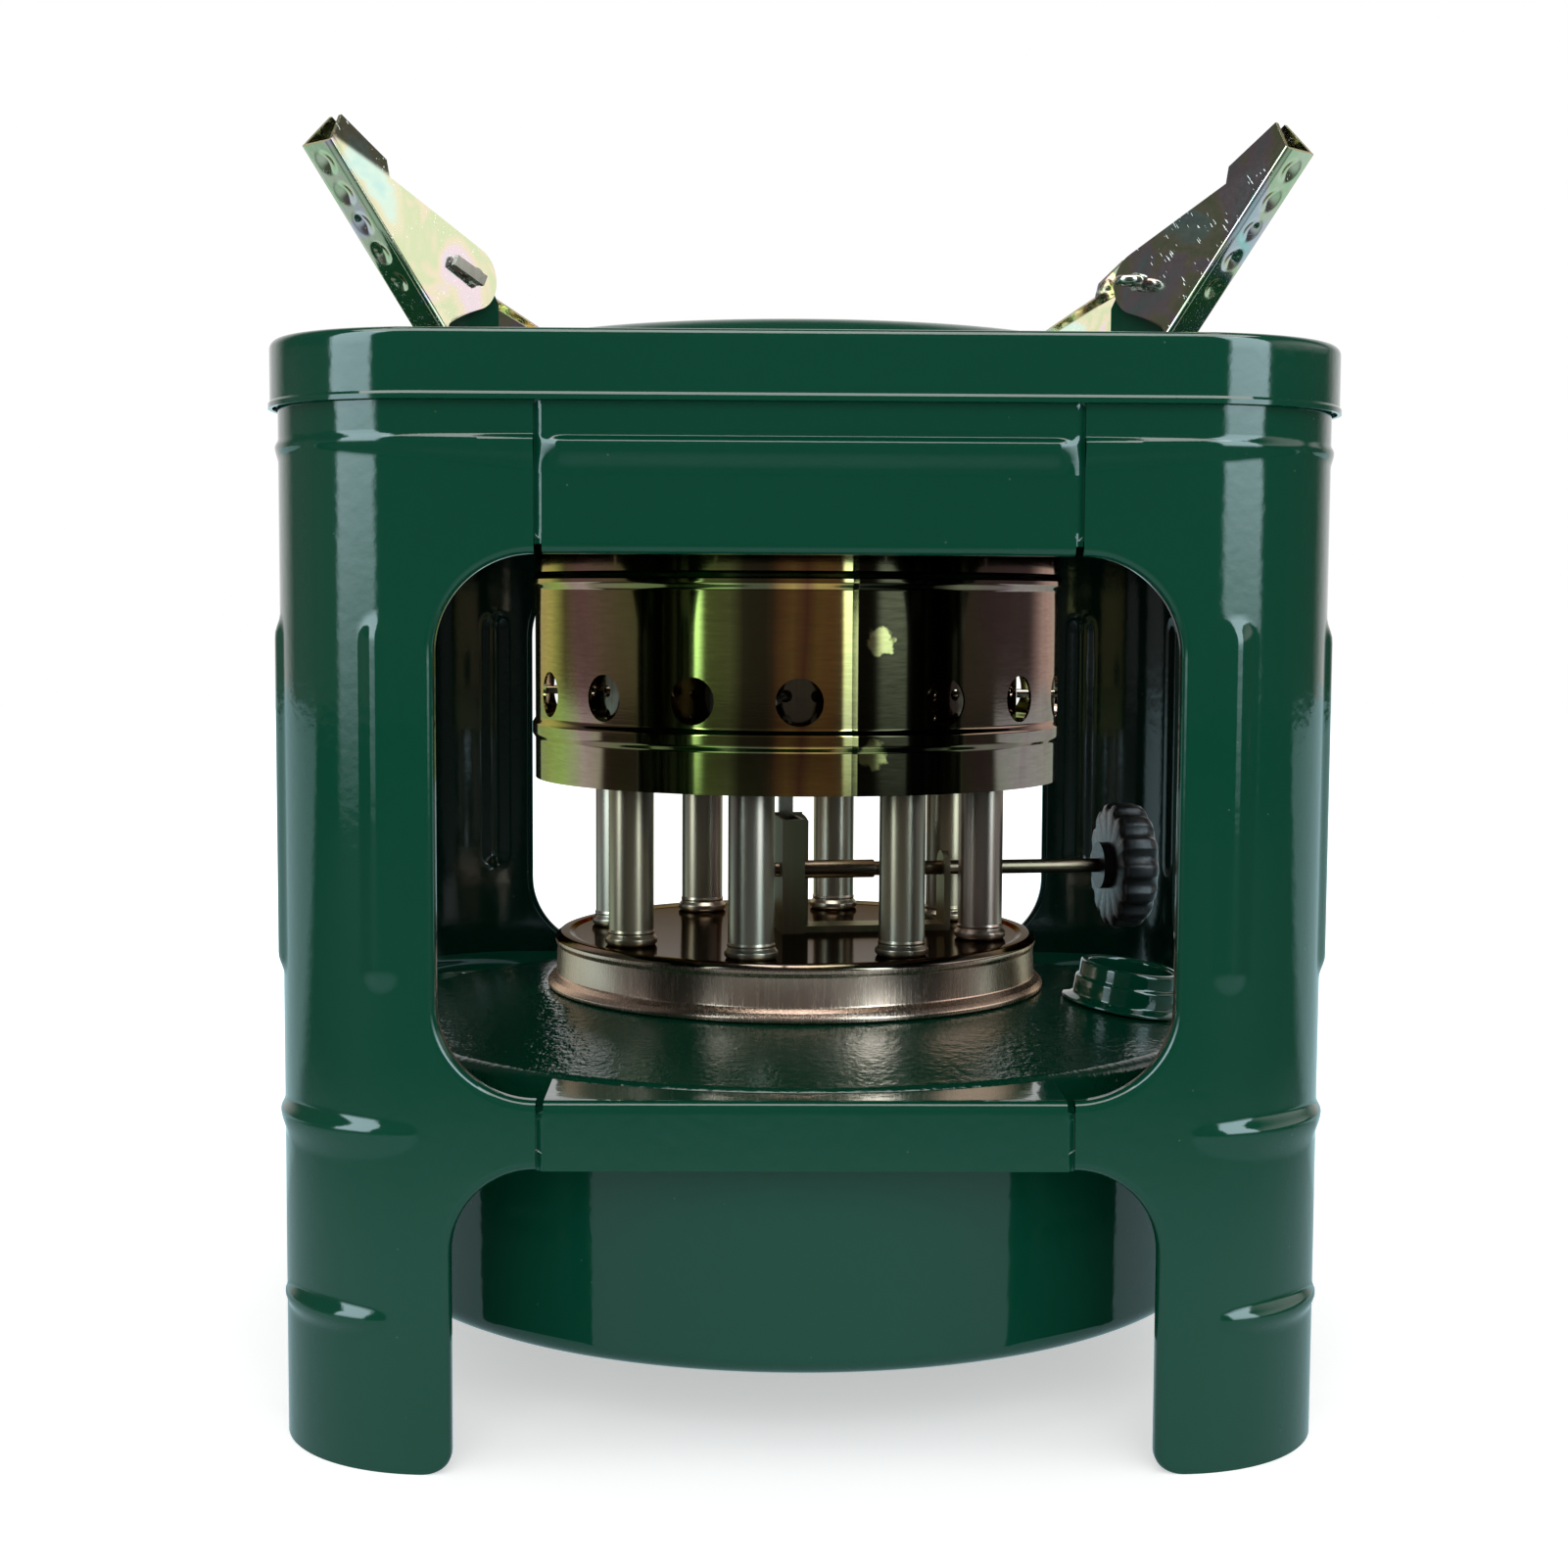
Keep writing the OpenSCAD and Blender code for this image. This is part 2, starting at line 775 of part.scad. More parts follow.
module filler_neck() {
    step = filler_h * filler_step_share;
    foot = filler_body_r + filler_flange_w;
    color(ENAMEL)
        filler_place()
            rotate_extrude()
                polygon([[filler_bore_r, -2 * filler_t], [filler_bore_r, filler_h - filler_t],
                    [filler_bore_r + filler_t / 2, filler_h], [filler_rim_r - filler_t / 2, filler_h],
                    [filler_rim_r, filler_h - filler_t / 2], [filler_rim_r, step + filler_t],
                    [filler_body_r - filler_t / 4, step + filler_t / 2], [filler_body_r, step],
                    [filler_body_r, filler_flange_t * filler_root_share], [foot, filler_flange_t],
                    [foot, run_gap], [filler_bore_r + filler_t, run_gap],
                    [filler_bore_r + filler_t, -2 * filler_t]]);
}

// Burner
module tube_places() {
    for (i = [0 : tube_count - 1])
        tube_place(i)
            children();
}

module tube_place(i) {
    rotate([0, 0, burner_turn + tube_step * (i + 1 / 2)])
        translate([tube_circle_r, 0, 0])
            children();
}

module rack_slot(z, h) {
    gap = 2 * run_gap;
    rotate([0, 0, burner_turn])
        translate([post_x0 + post_w / 2 - rack_w / 2 - gap, pitch_r - tooth_add - gap, z])
            cube([rack_w + 2 * gap, rack_y1 - pitch_r + tooth_add + 2 * gap, h]);
}

// Inverted cup that holds the wick tubes, with a rolled foot and a lipped top edge
module burner_base() {
    color(PLATED)
        difference() {
            rotate_extrude($fn = 144)
                polygon([[0, plate_z], [base_r - base_lip_r * lip_in_shares[0], plate_z],
                    [base_r - base_lip_r * lip_in_shares[1], plate_z + base_lip_r / 3],
                    [base_r - base_lip_r * lip_in_shares[2], plate_z + base_lip_r / 3],
                    [base_r - base_lip_r * lip_in_shares[3], plate_z],
                    [base_r + seam_slit, plate_z - base_lip_r * lip_down_shares[0]],
                    [base_r + seam_slit, plate_z - base_lip_r * lip_down_shares[1]],
                    [base_r, plate_z - base_lip_r * lip_down_shares[2]],
                    [base_r, base_z + base_flange_t * foot_up_shares[0]],
                    [base_r + base_flange_w * foot_out_share, base_z + base_flange_t],
                    [base_flange_r, base_z + base_flange_t * foot_up_shares[1]],
                    [base_flange_r, base_z + base_flange_t * foot_up_shares[2]],
                    [base_flange_r - base_flange_w / 4, base_z],
                    [base_r - base_wall_t, base_z], [base_r - base_wall_t, plate_z - base_lip_r],
                    [base_r - base_lip_r, plate_z - plate_t], [0, plate_z - plate_t]]);
            tube_places()
                translate([0, 0, plate_z - plate_t - cut])
                    cylinder(r = tube_r + seat_gap, h = plate_t + 2 * cut);
            rack_slot(plate_z - plate_t - cut, plate_t + 2 * cut);
        }
}

module wick_tube(i) {
    color(STEEL)
        tube_place(i)
            rotate_extrude()
                polygon([[tube_r - tube_wall, plate_z - tube_root], [tube_r - tube_wall, tube_top],
                    [tube_r, tube_top], [tube_r, plate_z + collar_ring_h],
                    [tube_r + collar_ring_w, plate_z + collar_ring_h * collar_ring_shares[0]],
                    [tube_r + collar_ring_w, plate_z + collar_ring_h * collar_ring_shares[1]],
                    [tube_r + collar_ring_w / 2, plate_z + seat_gap], [tube_r, plate_z + seat_gap],
                    [tube_r, plate_z - tube_root]]);
}

// Ring that ties the tops of the wick tubes and carries the chimney
module wick_gallery() {
    color(PLATED)
        difference() {
            translate([0, 0, gallery_top - gallery_t])
                cylinder(r = tube_circle_r + tube_r + gallery_margin, h = gallery_t, $fn = 144);
            translate([0, 0, gallery_top - gallery_t - cut])
                cylinder(r = tube_circle_r - tube_r - gallery_margin, h = gallery_t + 2 * cut, $fn = 144);
            tube_places()
                translate([0, 0, gallery_top - gallery_t - cut])
                    cylinder(r = tube_r + seat_gap, h = gallery_t + 2 * cut);
        }
}

module shaft_hole(x, len) {
    translate([x, 0, shaft_z])
        rotate([0, quarter_turn, 0])
            cylinder(r = shaft_r + bearing_gap, h = len);
}

// Folded box that houses the pinion, guides the rack and carries the shaft's inner end
module guide_post() {
    color(STEEL)
        rotate([0, 0, burner_turn])
            difference() {
                translate([post_x0, post_y0, plate_z])
                    cube([post_w, post_y1 - post_y0, post_h]);
                translate([post_x0 + post_t, post_y0 + post_t, plate_z - cut])
                    cube([post_w - 2 * post_t, post_y1 - post_y0 - 2 * post_t, post_h + 2 * cut]);
                shaft_hole(post_x0 - cut, post_w + 2 * cut);
            }
}

// Strap on the burner's base with an ear for the shaft and a plate behind the post
module shaft_bracket() {
    x0 = post_x0 + post_w + seat_gap;
    color(STEEL)
        rotate([0, 0, burner_turn])
            difference() {
                union() {
                    translate([x0, -bracket_w / 2, plate_z])
                        cube([bracket_reach - x0, bracket_w, bracket_t]);
                    translate([x0, 0, plate_z])
                        cube([bracket_t * 2, post_y1 + bracket_t, bracket_t]);
                    translate([post_x0, post_y1 + seat_gap, plate_z])
                        cube([back_plate_w, bracket_t / 2, post_h - bracket_t]);
                    translate([post_x0, post_y1 + seat_gap, plate_z])
                        cube([back_plate_w - bracket_t, bracket_t / 2, post_h + bracket_t / 3]);
                    translate([post_x0 + back_plate_w - 2 * bracket_t, post_y1 + seat_gap,
                        plate_z + post_h + bracket_t / 3 - 2 * bracket_t])
                        rotate([-quarter_turn, 0, 0])
                            cylinder(r = 2 * bracket_t, h = bracket_t / 2);
                    translate([bracket_reach - bracket_t, -bracket_w / 2, plate_z])
                        cube([bracket_t, bracket_w, shaft_h]);
                    translate([bracket_reach - bracket_t, 0, shaft_z])
                        rotate([0, quarter_turn, 0])
                            cylinder(r = bracket_w / 2, h = bracket_t);
                }
                shaft_hole(bracket_reach - bracket_t - cut, bracket_t + 2 * cut);
            }
}

// Rack and pinion. Teeth are straight sided, and the pitch line of each is at half height
rack_pitch = PI * gear_module;
function tooth_half(h) = rack_pitch / 4 - tooth_slack / 2 - h * tan(pressure_angle);

function rack_tooth(z) = [[rack_y0, z + tooth_half(-tooth_ded)],
    [pitch_r - tooth_add, z + tooth_half(tooth_add)],
    [pitch_r - tooth_add, z - tooth_half(tooth_add)],
    [rack_y0, z - tooth_half(-tooth_ded)]];

module wick_rack() {
    teeth_low = -ceil((wick_lift + 2 * pitch_r) / rack_pitch);
    teeth_high = ceil(pitch_r / rack_pitch) + 1;
    low = carrier_z + carrier_t;
    high = plate_z + post_h + wick_lift * rack_rise_share;
    color(STEEL)
        rotate([0, 0, burner_turn])
            translate([post_x0 + post_w / 2 - rack_w / 2, 0, 0])
                rotate([quarter_turn, 0, quarter_turn])
                    linear_extrude(height = rack_w)
                        polygon(concat([[rack_y1, low], [rack_y1, high], [rack_y0, high]],
                            [for (i = [teeth_high : -1 : teeth_low])
                                each rack_tooth(shaft_z + (i + 1 / 2) * rack_pitch)],
                            [[rack_y0, low]]));
}

function gear_point(i, h, side) =
    let (a = full_turn * i / gear_teeth + side * tooth_half(h) / pitch_r * 180 / PI)
    [(pitch_r + h) * cos(a), (pitch_r + h) * sin(a)];

module pinion() {
    color(STEEL)
        rotate([0, 0, burner_turn])
            translate([post_x0 + post_w / 2 - gear_w / 2, 0, shaft_z])
                rotate([quarter_turn, 0, quarter_turn])
                    linear_extrude(height = gear_w)
                        difference() {
                            polygon([for (i = [0 : gear_teeth - 1])
                                each [gear_point(i, -tooth_ded, -1), gear_point(i, 0, -1),
                                    gear_point(i, tooth_add, -1), gear_point(i, tooth_add, 1),
                                    gear_point(i, 0, 1), gear_point(i, -tooth_ded, 1)]]);
                            circle(r = shaft_r + seat_gap / 2);
                        }
}

module control_shaft() {
    sleeve_x = post_x0 + post_w + run_gap;
    color(PLATED)
        rotate([0, 0, burner_turn])
            union() {
                translate([post_x0 - shaft_tail, 0, shaft_z])
                    rotate([0, quarter_turn, 0])
                        cylinder(r = shaft_r, h = knob_reach + shaft_in_knob - post_x0 + shaft_tail);
                translate([sleeve_x, 0, shaft_z])
                    rotate([0, quarter_turn, 0])
                        cylinder(r = sleeve_r, h = sleeve_len);
            }
}

module knob() {
    body_top = knob_body_h + knob_dome_h;
    dome_steps = 6;
    color(BLACK)
        rotate([0, 0, burner_turn])
            translate([knob_reach, 0, shaft_z])
                rotate([0, quarter_turn, 0])
                    difference() {
                        rotate_extrude()
                            polygon(concat([[0, -knob_hub_h], [knob_hub_r, -knob_hub_h], [knob_hub_r, 0],
                                [knob_r - knob_chamfer, 0], [knob_r, knob_chamfer / 2],
                                [knob_r, knob_body_h - knob_chamfer]],
                                [for (i = [0 : dome_steps])
                                    let (a = quarter_turn * i / dome_steps)
                                    [(knob_r - knob_chamfer / 2) * cos(a),
                                        knob_body_h + knob_dome_h * sin(a)]]));
                        for (i = [0 : knob_flutes - 1])
                            rotate([0, 0, full_turn * i / knob_flutes])
                                translate([knob_r + flute_r - flute_depth, 0, -cut])
                                    cylinder(r = flute_r, h = body_top + 2 * cut);
                        translate([0, 0, -knob_hub_h - cut])
                            cylinder(r = shaft_r + seat_gap / 2,
                                     h = knob_hub_h + cut + shaft_in_knob + seat_gap);
                    }
}

// Wicks and the plate that carries them, which the rack lifts
module wick_carrier() {
    rim_r = tube_circle_r + wick_r + carrier_rim;
    color(STEEL)
        difference() {
            translate([0, 0, carrier_z])
                linear_extrude(height = carrier_t)
                    union() {
                        difference() {
                            circle(r = rim_r);
                            circle(r = tube_circle_r - wick_r - carrier_rim);
                        }
                        rotate([0, 0, burner_turn])
                            difference() {
                                square([2 * tube_circle_r, carrier_arm_w * 2], center = true);
                                translate([carrier_arm_w, -tube_circle_r])
                                    square([carrier_arm_w, tube_circle_r - carrier_arm_w / 2]);
                            }
                    }
            tube_places()
                translate([0, 0, carrier_z - cut])
                    cylinder(r = wick_r + seat_gap, h = carrier_t + 2 * cut);
        }
}

module wick(i) {
    z0 = tank_lift + tank_t + wick_foot;
    color(WICK_COLOR)
        tube_place(i)
            translate([0, 0, z0])
                cylinder(r = wick_r, h = tube_top - wick_drop - z0);
}

// Chimney
function bead_points(z, w) = [[drum_r, z], [drum_r + drum_bead_h, z + bead_side],
    [drum_r + drum_bead_h, z + w - bead_side], [drum_r, z + w]];

module radial(azimuth, r, z) {
    rotate([0, 0, azimuth])
        translate([0, -r, z])
            rotate([quarter_turn, 0, 0])
                children();
}

module drum_shell() {
    face = concat([[drum_r, drum_z0]], bead_points(drum_z0 + low_bead_rise, low_bead_w),
        bead_points(drum_z0 + high_bead_rise, high_bead_w), [[drum_r, drum_top]]);
    rotate_extrude($fn = 144)
        polygon(concat(face, [for (i = [len(face) - 1 : -1 : 0]) face[i] - [drum_t, 0]]));
}

module chimney_drum() {
    color(PLATED)
        difference() {
            union() {
                drum_shell();
                rotate([0, 0, seam_turn - quarter_turn])
                    rotate_extrude(angle = seam_lap_turn, $fn = 144)
                        translate([drum_r - drum_t / 2, drum_z0 + low_bead_rise + low_bead_w])
                            square([drum_t / 2 + seam_lap_t, high_bead_rise - low_bead_rise - low_bead_w]);
            }
            for (i = [0 : air_hole_count - 1])
                radial(air_hole_first_turn + air_hole_turn * i, drum_r - 3 * drum_t, drum_z0 + air_hole_rise)
                    cylinder(r = air_hole_r, h = 6 * drum_t);
        }
}

// A perforated tube of the burner; its rows of holes are shares of its height
module flame_tube(r) {
    z0 = gallery_top + run_gap;
    h = flame_top - z0;
    color(PLATED)
        difference() {
            translate([0, 0, z0])
                rotate_extrude($fn = 96)
                    translate([r - flame_t, 0])
                        square([flame_t, h]);
            for (row = [1 : flame_rows], i = [0 : flame_holes - 1])
                radial(full_turn * (i + row / 2) / flame_holes,
                       r - 2 * flame_t, z0 + h * row * flame_row_share)
                    cylinder(r = flame_hole_r, h = 4 * flame_t);
        }
}

// Pins that hold the drum and the two flame tubes apart
module spacer_pins() {
    spans = [[flame_inner_r + seat_gap, flame_outer_r - flame_t - seat_gap],
        [flame_outer_r + seat_gap, drum_r - drum_t - seat_gap]];
    color(STEEL)
        for (i = [0 : spacer_count - 1], s = spans)
            radial(spacer_turn + full_turn * i / spacer_count, s[0], drum_z0 + air_hole_rise)
                cylinder(r = spacer_r, h = s[1] - s[0]);
}

// Pot supports
module support_place(i) {
    rotate([0, 0, quarter_turn * (i - 1 / 2)])
        translate([pivot_place, 0, pivot_z])
            children();
}

// From spine terms to the support's own place: along the spine, across it and inward
module spine_frame() {
    rotate([0, -open_slope, 0])
        translate([-pivot_along, 0, -pivot_in])
            children();
}

module cheek_outline() {
    tab_a = spine_len * tab_along_share;
    notch_a = spine_len * notch_along_share;
    polygon([[0, 0], [spine_len, 0], [spine_len + tip_past, tip_in], [tab_a, tab_in],
        [notch_a, notch_in],
        [pivot_along + round_end_r * round_near_shares[0], pivot_in + round_end_r * round_near_shares[1]],
        [pivot_along - round_end_r * round_far_shares[0], pivot_in - round_end_r * round_far_shares[1]],
        [-support_t, pivot_in * heel_shares[0]], [support_t, pivot_in * heel_shares[1]]]);
    translate([pivot_along, pivot_in])
        circle(r = round_end_r);
}

// The crease runs from the notch to the top of the spine; back sets its line lower
module past_crease(back) {
    from = [spine_len * notch_along_share - back, notch_in - back];
    to = [spine_len - back, crease_in - back];
    along = to - from;
    far = 2 * [tab_in, tab_in];
    polygon([from - along, to + along, to + along + far, from - along + far]);
}

module creased() {
    turn = atan2(crease_in - notch_in, spine_len * (1 - notch_along_share));
    translate([spine_len, crease_in, 0])
        rotate([0, 0, turn])
            rotate([tab_turn, 0, 0])
                rotate([0, 0, -turn])
                    translate([-spine_len, -crease_in, 0])
                        children();
}

// One side of a support, leaning in, with its tab creased further in
module cheek() {
    translate([0, spine_w / 2, 0])
        rotate([quarter_turn + cheek_turn, 0, 0])
            union() {
                linear_extrude(height = support_t)
                    difference() {
                        cheek_outline();
                        past_crease(0);
                    }
                creased()
                    linear_extrude(height = support_t)
                        intersection() {
                            cheek_outline();
                            past_crease(support_t / 2);
                        }
            }
}

module dimples() {
    r = arc_r(2 * dimple_r, dimple_h);
    run = spine_len * (1 - 2 * dimple_ends_share);
    for (i = [0 : dimple_count - 1])
        translate([spine_len * dimple_ends_share + run * i / (dimple_count - 1), 0, dimple_h - r])
            sphere(r = r);
}

module support(i) {
    color(PLATED)
        support_place(i)
            difference() {
                spine_frame()
                    union() {
                        difference() {
                            translate([0, support_t / 2 - spine_w / 2, 0])
                                cube([spine_len, spine_w - support_t, support_t]);
                            dimples();
                        }
                        cheek();
                        mirror([0, 1, 0])
                            cheek();
                    }
                rotate([quarter_turn, 0, 0])
                    cylinder(r = pin_r + bearing_gap, h = 2 * spine_w, center = true);
            }
}

// Folded bracket on the lid that a support turns on
module lug(i) {
    half_w = lug_t + lug_space / 2;
    stop = (pivot_in - support_t - lug_stop_gap) / sin(open_slope);
    foot_x = stop - pivot_h / tan(open_slope);
    nose_z = -pivot_h * lug_nose_share;
    color(ENAMEL)
        support_place(i)
            difference() {
                union() {
                    rotate([quarter_turn, 0, 0])
                        linear_extrude(height = 2 * half_w, center = true)
                            union() {
                                circle(r = lug_head_r);
                                polygon([[-lug_back, -pivot_h], [foot_x, -pivot_h],
                                    [stop + nose_z / tan(open_slope), nose_z],
                                    lug_head_r * lug_front_shares,
                                    [-lug_head_r * lug_back_shares[0], lug_head_r * lug_back_shares[1]],
                                    [-lug_back, -lug_head_r]]);
                            }
                    translate([-lug_back, -half_w - lug_foot_w, -pivot_h])
                        cube([lug_back + foot_x, 2 * (half_w + lug_foot_w), lug_t]);
                }
                translate([lug_t - lug_back, -lug_space / 2, lug_t - pivot_h])
                    cube([3 * lug_back, lug_space, 2 * pivot_h]);
                rotate([quarter_turn, 0, 0])
                    cylinder(r = pin_r + bearing_gap, h = 4 * half_w, center = true);
            }
}

// Split pin of a support: a loop on one side and bent legs on the other
module split_pin(i) {
    side_y = spine_w / 2 - pivot_in * tan(cheek_turn);
    reach = side_y + round_end_r * tan(cheek_turn) + pin_stand;
    color(STEEL)
        support_place(i)
            union() {
                rotate([quarter_turn, 0, 0])
                    cylinder(r = pin_r, h = 2 * reach, center = true);
                translate([0, -reach - pin_head_r, 0])
                    rotate_extrude()
                        translate([pin_head_r, 0])
                            circle(r = pin_wire_r);
                rotate([0, -pin_leg_turn, 0])
                    translate([-pin_r, reach - pin_leg_t / 4, -pin_r * pin_leg_share])
                        cube([pin_leg_len, pin_leg_t, 2 * pin_r * pin_leg_share]);
            }
}

lid();
for (i = [0 : 3]) {
    leg_panel(quarter_turn * i);
    apron(quarter_turn * i);
    crossbar(quarter_turn * i);
    lug(i);
    support(i);
    split_pin(i);
}
tank_bowl();
tank_top();
filler_neck();
burner_base();
wick_gallery();
guide_post();
shaft_bracket();
for (i = [1 : tube_count]) {
    wick_tube(i - 1);
    wick(i - 1);
}
wick_carrier();
wick_rack();
control_shaft();
pinion();
knob();
chimney_drum();
flame_tube(flame_outer_r);  // flame_tube_outer
flame_tube(flame_inner_r);  // flame_tube_inner
spacer_pins();
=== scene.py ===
"""Kerosene camping stove: the looks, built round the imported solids.

Lengths in the classes are in millimetres, in the solids' own frame: +Z up, the
front is -Y and the knob is on the +X side. Meshes are made in metres, and the depths
of the finishes, the ragged edge of the drum's stain and the wick's grey top are in
metres too.
"""

import logging
import math
from dataclasses import dataclass
from enum import Enum

import bmesh
import bpy
import numpy as np
from mathutils import Matrix, Vector


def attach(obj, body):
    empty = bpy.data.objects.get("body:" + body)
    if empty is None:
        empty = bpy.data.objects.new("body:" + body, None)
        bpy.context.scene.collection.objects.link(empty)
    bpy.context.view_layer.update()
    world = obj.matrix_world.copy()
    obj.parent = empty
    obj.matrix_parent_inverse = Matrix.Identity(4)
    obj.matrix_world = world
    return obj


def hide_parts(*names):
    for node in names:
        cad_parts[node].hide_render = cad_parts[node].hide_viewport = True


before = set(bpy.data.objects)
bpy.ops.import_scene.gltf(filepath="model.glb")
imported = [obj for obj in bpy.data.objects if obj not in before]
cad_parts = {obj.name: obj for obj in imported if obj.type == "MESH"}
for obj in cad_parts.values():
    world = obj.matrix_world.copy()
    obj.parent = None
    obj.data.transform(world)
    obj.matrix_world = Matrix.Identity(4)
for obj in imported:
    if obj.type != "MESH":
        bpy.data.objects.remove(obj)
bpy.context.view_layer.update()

LOG = logging.getLogger("stove")
MM = 0.001
WELD = 2e-6
TINY = 1e-6
SHARP = 32.0
# Sockets of a colour mix: its share and two colours, then its result
MIX_INPUTS = (0, 6, 7)
MIX_OUTPUT = 2
FLOAT = "NodeSocketFloat"
VECTOR = "NodeSocketVector"
COLOR = "NodeSocketColor"

Point2 = tuple[float, float]
Point3 = tuple[float, float, float]
RGB = tuple[float, float, float]
Stops = tuple[tuple[float, RGB], ...]
Row = tuple[list[Point3], list[Point3]]
Faces = list[tuple[int, ...]]
Material = bpy.types.Material
Node = bpy.types.Node
Object = bpy.types.Object
Socket = bpy.types.NodeSocket


class Slot(str, Enum):
    """Material slots of the record."""

    ENAMEL = "enamel_green"
    ZINC = "zinc_plate"
    STEEL = "bare_steel"
    PLASTIC = "knob_plastic"
    COTTON = "wick_cotton"


class Body(str, Enum):
    """Bodies that pieces ride on."""

    FRAME = "frame"
    RAISER = "wick_raiser"
    CONTROL = "control"
    CHIMNEY = "chimney"


CORNERS = ("front_right", "rear_right", "rear_left", "front_left")
SIDES = ("front", "right", "rear", "left")


# Meshes


def new_object(name: str, data: bpy.types.ID) -> Object:
    """Makes an object of its data and puts it in the scene."""
    obj = bpy.data.objects.new(name, data)
    bpy.context.scene.collection.objects.link(obj)
    return obj


def shade(mesh: bpy.types.Mesh, sharp: float) -> None:
    """Shades a mesh smooth, but for edges that turn by more than an angle in degrees."""
    mesh.shade_smooth()
    mesh.set_sharp_from_angle(angle=math.radians(sharp))


def mesh_object(name: str, verts: np.ndarray, faces: Faces, sharp: float = SHARP) -> Object:
    """Makes a smooth-shaded object from points in millimetres.

    Args:
        name: Name of the piece.
        verts: Points, one row each.
        faces: Corner numbers of each face.
        sharp: Angle in degrees above which an edge stays sharp.

    Returns:
        The new object, linked to the scene.
    """
    mesh = bpy.data.meshes.new(name)
    mesh.from_pydata((np.asarray(verts, float) * MM).tolist(), [], faces)
    bm = bmesh.new()
    bm.from_mesh(mesh)
    bmesh.ops.remove_doubles(bm, verts=bm.verts, dist=WELD)
    bmesh.ops.dissolve_degenerate(bm, edges=bm.edges, dist=WELD)
    loose = [v for v in bm.verts if not v.link_faces]
    bmesh.ops.delete(bm, geom=loose, context="VERTS")
    if bm.calc_volume(signed=True) < 0:
        bmesh.ops.reverse_faces(bm, faces=bm.faces)
    bm.to_mesh(mesh)
    bm.free()
    shade(mesh, sharp)
    return new_object(name, mesh)


def grid_faces(rows: int, cols: int, wrap: bool, start: int = 0, flip: bool = False) -> Faces:
    """Quads of a grid of points numbered row by row from start."""
    faces = []
    for r in range(rows - 1):
        here, there = start + r * cols, start + (r + 1) * cols
        for c in range(cols if wrap else cols - 1):
            d = (c + 1) % cols
            quad = (here + c, here + d, there + d, there + c)
            faces.append(quad[::-1] if flip else quad)
    return faces


def skin(name: str, points: np.ndarray, normals: np.ndarray, thickness: float, wrap: bool = False) -> Object:
    """Makes a sheet of even thickness from a grid on its outer face.

    Args:
        name: Name of the piece.
        points: Grid of points, rows by columns by three.
        normals: Unit vectors that point out of the sheet, as points.
        thickness: Thickness of the sheet.
        wrap: Whether the last column joins the first.

    Returns:
        The closed sheet.
    """
    rows, cols = points.shape[:2]
    count = rows * cols
    inner = points - normals * thickness
    verts = np.concatenate([points.reshape(-1, 3), inner.reshape(-1, 3)])
    faces = grid_faces(rows, cols, wrap) + grid_faces(rows, cols, wrap, count, True)
    last = count - cols
    for c in range(cols if wrap else cols - 1):
        d = (c + 1) % cols
        faces.append((d, c, count + c, count + d))
        faces.append((last + c, last + d, count + last + d, count + last + c))
    if not wrap:
        for a in range(0, last, cols):
            b = a + cols
            faces.append((a, b, count + b, count + a))
            faces.append((b + cols - 1, b - 1, count + b - 1, count + b + cols - 1))
    return mesh_object(name, verts, faces)


def lathe(name: str, profile: list[Point2], segments: int = 192, sharp: float = SHARP) -> Object:
    """Turns a closed profile of radius and height about the Z axis."""
    ring = [2 * math.pi * i / segments for i in range(segments)]
    verts = np.array([[r * math.cos(a), r * math.sin(a), z] for r, z in profile for a in ring])
    faces = grid_faces(len(profile), segments, True)
    last = (len(profile) - 1) * segments
    for c in range(segments):
        d = (c + 1) % segments
        faces.append((last + c, last + d, d, c))
    return mesh_object(name, verts, faces, sharp)


def rounded(profile: list[Point2], radius: float, steps: int = 5) -> list[Point2]:
    """Rounds the corners of a closed profile with small arcs, but for those on the axis.

    Args:
        profile: Corners in order.
        radius: Largest radius; short sides get less.
        steps: Points of each arc.

    Returns:
        The points of the rounded profile.
    """
    out: list[Point2] = []
    for i, corner in enumerate(profile):
        p = np.array(corner)
        before = np.array(profile[i - 1]) - p
        after = np.array(profile[(i + 1) % len(profile)]) - p
        long_before, long_after = np.linalg.norm(before), np.linalg.norm(after)
        if corner[0] < TINY or min(long_before, long_after) < TINY:
            out.append(corner)
            continue
        before, after = before / long_before, after / long_after
        angle = math.acos(float(np.clip(before @ after, -1, 1)))
        reach = min(radius / max(math.tan(angle / 2), 1e-3), 0.45 * long_before, 0.45 * long_after)
        for k in range(steps):
            t = k / (steps - 1)
            q = (1 - t) ** 2 * (p + before * reach) + 2 * t * (1 - t) * p + t * t * (p + after * reach)
            out.append((float(q[0]), float(q[1])))
    return out


def place(obj: Object, matrix: Matrix) -> Object:
    """Moves a piece's points by a matrix whose lengths are in millimetres."""
    scaled = matrix.copy()
    scaled.translation = scaled.translation * MM
    obj.data.transform(scaled)
    return obj


def turned(axis: str, degrees: float) -> Matrix:
    """A turn about one axis."""
    return Matrix.Rotation(math.radians(degrees), 4, axis)


def moved(x: float, y: float, z: float) -> Matrix:
    """A shift, in millimetres."""
    return Matrix.Translation((x, y, z))


def copy_of(obj: Object, name: str, matrix: Matrix) -> Object:
    """Copies a piece with its mesh moved by a matrix whose lengths are in millimetres."""
    return place(new_object(name, obj.data.copy()), matrix)


